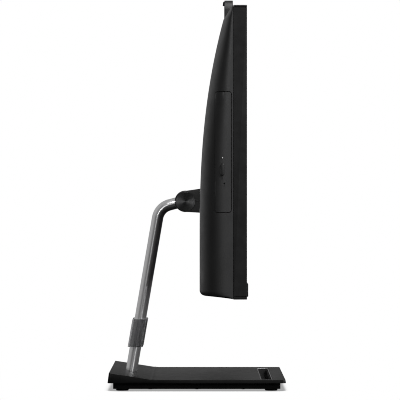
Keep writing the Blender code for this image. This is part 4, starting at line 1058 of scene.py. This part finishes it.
def neck_half(name, side, cap_r, away):
    """One half of the neck cover, hollow, with the tube's slot and a seat for each cap."""
    inner = [(-0.02, NECK_BOTTOM_EDGE[1] + NECK_WALL)] + neck_outline(NECK_WALL)
    inner += [(-0.02, NECK_TOP_EDGE[1] - NECK_WALL)]
    swing = [(HINGE_Y, HINGE_Z)] + arc((HINGE_Y, HINGE_Z), 0.04, *SLOT_SWING, 24)
    slot_half = TUBE_HALF_W + 0.0012
    seats = []
    for x in (-side, side):
        seat = bore(cap_r + 0.0003, x - 0.0008, x + 0.0008)
        seats.append(revolve(f"seat_{x}", seat, "X", (0, HINGE_Y, HINGE_Z), 96))
    shell = prism(f"{name}_shell", neck_outline(0, NECK_END_SPARE), "X", -side, side)
    bevel(shell, 0.0007, 3)
    carve(
        shell,
        prism("neck_inside", inner, "X", -side + NECK_WALL, side - NECK_WALL),
        prism("tube_slot", swing, "X", -slot_half, slot_half),
        merge("cap_seats", *seats),
        neck_end_cut(side),
        box("other_half", (-0.05, -0.05, away[0]), (0.05, 0.05, away[1])),
    )
    place(shell, "screen_unit", "neck", name)


def neck_cap(name, direction, cap_r):
    """A turned metal cap with a slightly broken edge, on one side of the neck."""
    near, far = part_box(name)
    outer_x, inner_x = (near.x, far.x) if direction < 0 else (far.x, near.x)
    edge = 0.0002
    profile = [(0, outer_x), (cap_r - edge, outer_x), (cap_r, outer_x - direction * edge)]
    profile += [(cap_r, inner_x), (0, inner_x)]
    cap = revolve(f"{name}_disc", profile, "X", (0, HINGE_Y, HINGE_Z), 128)
    place(cap, "screen_unit", "cap", name)


def neck():
    """The two halves of the neck cover, with a metal cap on each side."""
    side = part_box("neck_cover_upper")[1].x
    cap_low, cap_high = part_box("neck_cap_left")
    cap_r = (cap_high.z - cap_low.z) / 2 + NECK_SIDE_R - NECK_R
    neck_half("neck_cover_upper", side, cap_r, (HINGE_Z - 0.03, HINGE_Z + NECK_SPLIT))
    neck_half("neck_cover_lower", side, cap_r, (HINGE_Z - NECK_SPLIT, HINGE_Z + 0.03))
    neck_cap("neck_cap_left", -1, cap_r)
    neck_cap("neck_cap_right", 1, cap_r)


# --- Stand ------------------------------------------------------------------------------


def leg_y(z):
    """Where the middle of the leg is at a height."""
    return LEG_Y_AT_DESK - LEG_LEAN * z


def tube_route():
    """Centre line of the stand tube as (Y, Z) points, from the desk to the hinge."""
    lean = math.atan(LEG_LEAN)
    arm = Vector((math.cos(ARM_DROP), -math.sin(ARM_DROP)))
    end = Vector((HINGE_Y, HINGE_Z + ARM_LIFT))
    up = Vector((-math.sin(lean), math.cos(lean)))
    reach = (leg_y(end.y) - end.x) / (arm.x + LEG_LEAN * arm.y)
    corner = end + arm * reach
    turn = math.pi / 2 - lean - ARM_DROP
    tangent = TUBE_BEND_R * math.tan(turn / 2)
    first = corner - up * tangent
    centre = first + Vector((-up.y, up.x)) * TUBE_BEND_R
    start = math.degrees(math.atan2(first.y - centre.y, first.x - centre.x))
    leg_foot = Vector((leg_y(0), 0))
    leg = [leg_foot.lerp(first, i / 12) for i in range(12)]
    bend = [Vector(p) for p in arc(centre, TUBE_BEND_R, start, start + math.degrees(turn), 24)]
    return leg + bend + [bend[-1].lerp(end, i / 6) for i in range(1, 7)]


def tube_rings(route, half_w, half_t, count=96):
    """Oval rings square to the route."""
    rings = []
    for i, point in enumerate(route):
        before, after = route[max(0, i - 1)], route[min(len(route) - 1, i + 1)]
        along = (after - before).normalized()
        across = Vector((along.y, -along.x))
        oval = ellipse(half_w, half_t, count)
        rings.append([(u, point.x + across.x * v, point.y + across.y * v) for u, v in oval])
    return rings


def oval_bar(name, grow):
    """A solid oval bar along the tube's route."""
    return loft(name, tube_rings(tube_route(), TUBE_HALF_W + grow, TUBE_HALF_T + grow))


def unwrap_rings(obj, lengths, count):
    """Texture coordinates for rings of count points: u round the ring, v metres along."""
    layer = obj.data.uv_layers.new(name="UVMap")
    for face in obj.data.polygons:
        turns = [obj.data.loops[i].vertex_index % count for i in face.loop_indices]
        wraps = max(turns) - min(turns) > count / 2
        for loop, turn in zip(face.loop_indices, turns):
            ring = obj.data.loops[loop].vertex_index // count
            u = 1.0 if wraps and turn == 0 else turn / count
            layer.data[loop].uv = (u, lengths[ring])


def stand_tube():
    """The bent oval tube, brushed along its length."""
    route = tube_route()
    lengths = [0.0]
    for before, after in zip(route, route[1:]):
        lengths.append(lengths[-1] + (after - before).length)
    outer = tube_rings(route, TUBE_HALF_W, TUBE_HALF_T)
    inner = tube_rings(route, TUBE_HALF_W - TUBE_WALL, TUBE_HALF_T - TUBE_WALL)
    tube = loft("stand_tube_bar", outer + inner[::-1], closed=True)
    unwrap_rings(tube, lengths + lengths[::-1], len(outer[0]))
    foot_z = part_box("stand_tube")[0].z
    saddle = revolve("saddle", bore(SHAFT_R, -0.05, 0.05), "X", (0, HINGE_Y, HINGE_Z), 64)
    carve(
        tube,
        box("foot_trim", (-0.05, 0.04, -0.03), (0.05, 0.12, foot_z)),
        saddle,
        box("end_trim", (-0.05, -0.02, 0.19), (0.05, HINGE_Y, 0.25)),
    )
    place(tube, "stand", "tube", "stand_tube")


def lean_with_leg(obj):
    """Leans obj, made about Y = 0, so that its middle follows the leg."""
    lean = Matrix.Identity(4)
    lean[1][2] = -LEG_LEAN
    lean[1][3] = LEG_Y_AT_DESK
    obj.data.transform(lean)
    return obj


def cable_clip():
    """A see-through loop snapped over the leg, open at the back."""
    low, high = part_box("cable_clip")
    half_w, half_t = CLIP_HALF_W, CLIP_HALF_T
    outline = rounded_rectangle((-half_w, -half_t), (half_w, half_t), CLIP_CORNER_R, 12)
    half_w, half_t = half_w - CLIP_WALL, half_t - CLIP_WALL
    inside = rounded_rectangle((-half_w, -half_t), (half_w, half_t), CLIP_CORNER_R - CLIP_WALL, 8)
    loop = bevel(prism("clip_loop", outline, "Z", low.z, high.z), 0.0007, 3, 60)
    carve(
        loop,
        prism("clip_inside", inside, "Z", low.z - CLEAR, high.z + CLEAR),
        box("clip_mouth", (-CLIP_MOUTH, 0, low.z - CLEAR), (CLIP_MOUTH, 0.02, high.z + CLEAR)),
    )
    place(lean_with_leg(loop), "cable_clip", "smoke", "cable_clip")


# --- Base -------------------------------------------------------------------------------


def ramp_height(y, back_y, top):
    """Height of the ramp that rises to the back of the plate."""
    run = back_y - RAMP_END_BACK - RAMP_START_Y
    return PLATE_TOP_Z + (top - PLATE_TOP_Z) * (y - RAMP_START_Y) / run


def base_plate():
    """The painted plate: rounded corners and edges, and a ramp with a soft crease at its foot."""
    low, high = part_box("base_plate")
    end = high.y - RAMP_END_BACK
    profile = [(low.y, low.z), (high.y, low.z), (end, high.z)]
    for i in range(CREASE_STEPS, -CREASE_STEPS - 1, -1):
        y = RAMP_START_Y + CREASE_HALF * i / CREASE_STEPS
        rise = max(0.0, ramp_height(y, high.y, high.z) - PLATE_TOP_Z)
        ease = CREASE_LIFT * (1 - abs(i) / CREASE_STEPS) ** 2
        profile.append((y, PLATE_TOP_Z + rise + ease))
    profile.append((low.y + 0.0006, PLATE_TOP_Z))
    plate = prism("base_plate_slab", profile, "X", low.x, high.x)
    plan = outline_of(low, high, "xy", 0, PLATE_CORNER_R, 12)
    boolean(plate, prism("plan", plan, "Z", -CLEAR, high.z + CLEAR), "INTERSECT")
    bevel(plate, 0.0006, 4, 32)
    start, end = HOLLOW_YS
    start_z, end_z = (ramp_height(y, high.y, high.z) - PLATE_SKIN for y in HOLLOW_YS)
    hollow = [(start, 0), (end + 0.002, 0), (end, end_z), (start, start_z)]
    trim_low, trim_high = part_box("slot_trim")
    lap = Vector((TRIM_OVER_SLOT, TRIM_OVER_SLOT, 0))
    gap = Vector((TRIM_GAP, TRIM_GAP, TRIM_GAP))
    carve(
        plate,
        prism("hollow", hollow, "X", low.x + PLATE_SKIN, high.x - PLATE_SKIN),
        oval_bar("tube_hole", 0.0004),
        tall_box("slot", trim_low + lap, trim_high - lap, 0),
        tall_box("trim_seat", trim_low - gap, trim_high + gap, trim_low.z - TRIM_GAP),
    )
    place(plate, "stand", "paint", "base_plate")


def tall_box(name, low, high, bottom):
    """A cutter over a rectangle of the base, from a height up to well above it."""
    return box(name, (low.x, low.y, bottom), (high.x, high.y, 0.03))


def slot_trim():
    """The bright rim of the phone slot."""
    low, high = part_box("slot_trim")
    inset = Vector((TRIM_W, TRIM_W, 0))
    rim = box("slot_trim_rim", low, high)
    carve(rim, tall_box("opening", low + inset, high - inset, 0))
    place(bevel(rim, 0.0003, 3), "stand", "trim", "slot_trim")


def slot_liner():
    """The rubber trough: a stop at the left end, and low ribs across its floor."""
    low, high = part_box("phone_slot_liner")
    start = Vector((low.x + LINER_STOP, low.y + LINER_WALL, 0))
    end = Vector((high.x - LINER_WALL, high.y - LINER_WALL, 0))
    floor_z = low.z + LINER_WALL
    trough = box("liner_trough", low, high)
    carve(trough, tall_box("inside", start, end, floor_z))
    bevel(trough, 0.0003, 2)
    place(trough, "stand", "rubber", "phone_slot_liner")
    ribs = []
    for i in range(1, LINER_RIBS + 1):
        x = start.x + (end.x - start.x) * i / (LINER_RIBS + 1)
        rib_low = (x - 0.0004, start.y, floor_z - 0.0001)
        ribs.append(box(f"rib_{i}", rib_low, (x + 0.0004, end.y, floor_z + 0.0005)))
    place(merge("liner_ribs", *ribs), "stand", "rubber")


def feet():
    """Round rubber feet with a turned groove underneath."""
    for name in ("foot_front_left", "foot_front_right", "foot_rear_left", "foot_rear_right"):
        low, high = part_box(name)
        radius = (high.x - low.x) / 2
        centre = middle_of(name)
        centre.z = 0
        edge = 0.0005
        profile = [(0, low.z + 0.0003), (radius * 0.55, low.z + 0.0003), (radius * 0.6, low.z)]
        profile += [(radius - edge, low.z), (radius, low.z + edge), (radius, high.z), (0, high.z)]
        place(revolve(f"{name}_pad", profile, "Z", centre, 64), "stand", "rubber", name)


# --- Small parts added to the CAD nodes -------------------------------------------------


def port_details():
    """Contact tongues in the USB and HDMI sockets, gold contacts, and the power inlet's pin."""
    tongues = []
    contacts = []
    for name, share in (("hdmi_port", 0.62), ("usb_port_1", 0.72), ("usb_port_2", 0.72)):
        low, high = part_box(name)
        middle = middle_of(name)
        half = (high.x - low.x) * share / 2
        mouth = low.z + 0.0015
        start = (middle.x - half, middle.y - 0.0007, mouth)
        end = (middle.x + half, middle.y + 0.0007, high.z - 0.0016)
        tongues.append(box(f"tongue_{name}", start, end))
        for i in range(4):
            x = middle.x + half * (i - 1.5) * 0.5
            start = (x - 0.0006, middle.y - 0.0009, mouth + 0.0004)
            end = (x + 0.0006, middle.y - 0.00065, mouth + 0.006)
            contacts.append(box(f"contact_{name}_{i}", start, end))
    place(merge("port_tongues", *tongues), "screen_unit", "black")
    place(merge("port_contacts", *contacts), "screen_unit", "gold")
    low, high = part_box("dc_jack")
    inlet = middle_of("dc_jack")
    pin = [(0, low.z + 0.001), (0.0004, low.z + 0.001), (0.0008, low.z + 0.0016)]
    pin += [(0.0008, high.z - 0.0016), (0, high.z - 0.0016)]
    place(revolve("dc_pin", pin, "Z", (inlet.x, inlet.y, 0), 24), "screen_unit", "steel")


def speaker_cones():
    """A domed cone and a soft ring in each speaker's round opening."""
    for side, name in ((-1, "left"), (1, "right")):
        centre = (side * SPEAKER_X, 0, SPEAKER_Z)
        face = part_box(f"speaker_{name}")[0].y
        ring = [(0.0058, face + 0.0018), (0.0066, face + 0.0008), (0.0074, face + 0.0008)]
        ring.append((0.0079, face + 0.0018))
        dome = [(0, face + 0.0010), (0.002, face + 0.0011), (0.0038, face + 0.0015)]
        dome += [(0.0057, face + 0.0019), (0, face + 0.0019)]
        ring = revolve(f"speaker_ring_{name}", ring, "Y", centre, 48)
        place(ring, "screen_unit", "rubber")
        dome = revolve(f"speaker_dome_{name}", dome, "Y", centre, 48)
        place(dome, "screen_unit", "aluminium")


def cross_head(name, x, y, radius, top, rise):
    """A low domed screw head, facing down, with a cross recess."""
    profile = [(0, top - rise), (radius * 0.6, top - rise * 0.9), (radius, top - rise * 0.4)]
    profile += [(radius, top), (0, top)]
    head = revolve(name, profile, "Z", (x, y, 0), 32)
    arm = radius * 0.62
    thin = radius * 0.14
    low_z, high_z = top - rise * 1.5, top - rise * 0.45
    cross = boolean(
        box("arm_x", (x - arm, y - thin, low_z), (x + arm, y + thin, high_z)),
        box("arm_y", (x - thin, y - arm, low_z), (x + thin, y + arm, high_z)),
        "UNION",
    )
    return boolean(head, cross, "DIFFERENCE")


def bottom_screws():
    """Screws that hold the pan under the base plate."""
    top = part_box("base_bottom_cover")[0].z + 0.00002
    heads = []
    for x in (-PAN_SCREW_X, PAN_SCREW_X):
        for y in PAN_SCREW_YS:
            heads.append(cross_head(f"pan_screw_{x}_{y}", x, y, PAN_SCREW_R, top, 0.0011))
    place(merge("pan_screws", *heads), "stand", "steel")


def fan_cap():
    """The rounded cap over the middle of the fan's blades."""
    low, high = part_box("fan_rotor")
    centre = (FAN_MIDDLE[0], 0, FAN_MIDDLE[1])
    front, back = low.y + 0.0001, high.y + 0.0003
    profile = [(0, front), (0.0125, front), (0.0132, back - 0.002), (0.0118, back - 0.0004)]
    profile += [(0.009, back), (0, back)]
    place(revolve("fan_cap_disc", profile, "Y", centre, 64), "fan_rotor", "grille")


# --- The nodes that stay ----------------------------------------------------------------


SOCKETS = ["hdmi_port", "lan_port", "usb_port_1", "usb_port_2"]
HINGE_METAL = ["hinge_shaft", "hinge_bracket", "mount_bracket"]
BASE_METAL = ["ballast_plate", "tube_flange", "flange_screw_left", "flange_screw_right"]
OTHER_STEEL = ["chassis_plate", "hard_drive_cage", "coin_cell", "pickup_sled"]
MODULES = ["memory_module_lower", "memory_module_upper", "ssd_module", "wifi_module"]
NODE_MATERIALS = {
    "screen": ["lcd_glass"],
    "panel": ["lcd_backlight"],
    "steel": SOCKETS + HINGE_METAL + BASE_METAL + OTHER_STEEL,
    "aluminium": ["drive_case", "hard_drive", "heatsink", "fin_stack"],
    "copper": ["heat_pipe"],
    "board": ["motherboard", "power_switch_board"] + MODULES,
    "black": ["speaker_left", "speaker_right", "webcam_rail", "fan_housing", "fan_rotor"]
    + ["port_bay", "dc_jack", "audio_jack"],
    "pan": ["base_bottom_cover"],
}


def paint_frame_nodes():
    """Gives each CAD node that still shows its finished material and slightly broken edges."""
    for key, names in NODE_MATERIALS.items():
        for name in names:
            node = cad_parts[name]
            node.data.materials.clear()
            node.data.materials.append(MATERIALS[key])
            weld = node.modifiers.new("weld", "WELD")
            weld.merge_threshold = 0.00001
            edges = node.modifiers.new("edges", "BEVEL")
            edges.width = 0.0002
            edges.segments = 2
            edges.limit_method = "ANGLE"
            edges.angle_limit = math.radians(50)


def main():
    """Builds the stage, then every piece, then the finish of the CAD nodes that stay."""
    camera()
    studio()
    floor()
    front_frame()
    speaker_grille()
    rear_cover()
    drive_bezel()
    drive_tray()
    disc_hub()
    webcam()
    power_button()
    neck()
    stand_tube()
    cable_clip()
    base_plate()
    slot_trim()
    slot_liner()
    feet()
    port_details()
    speaker_cones()
    bottom_screws()
    fan_cap()
    paint_frame_nodes()


main()
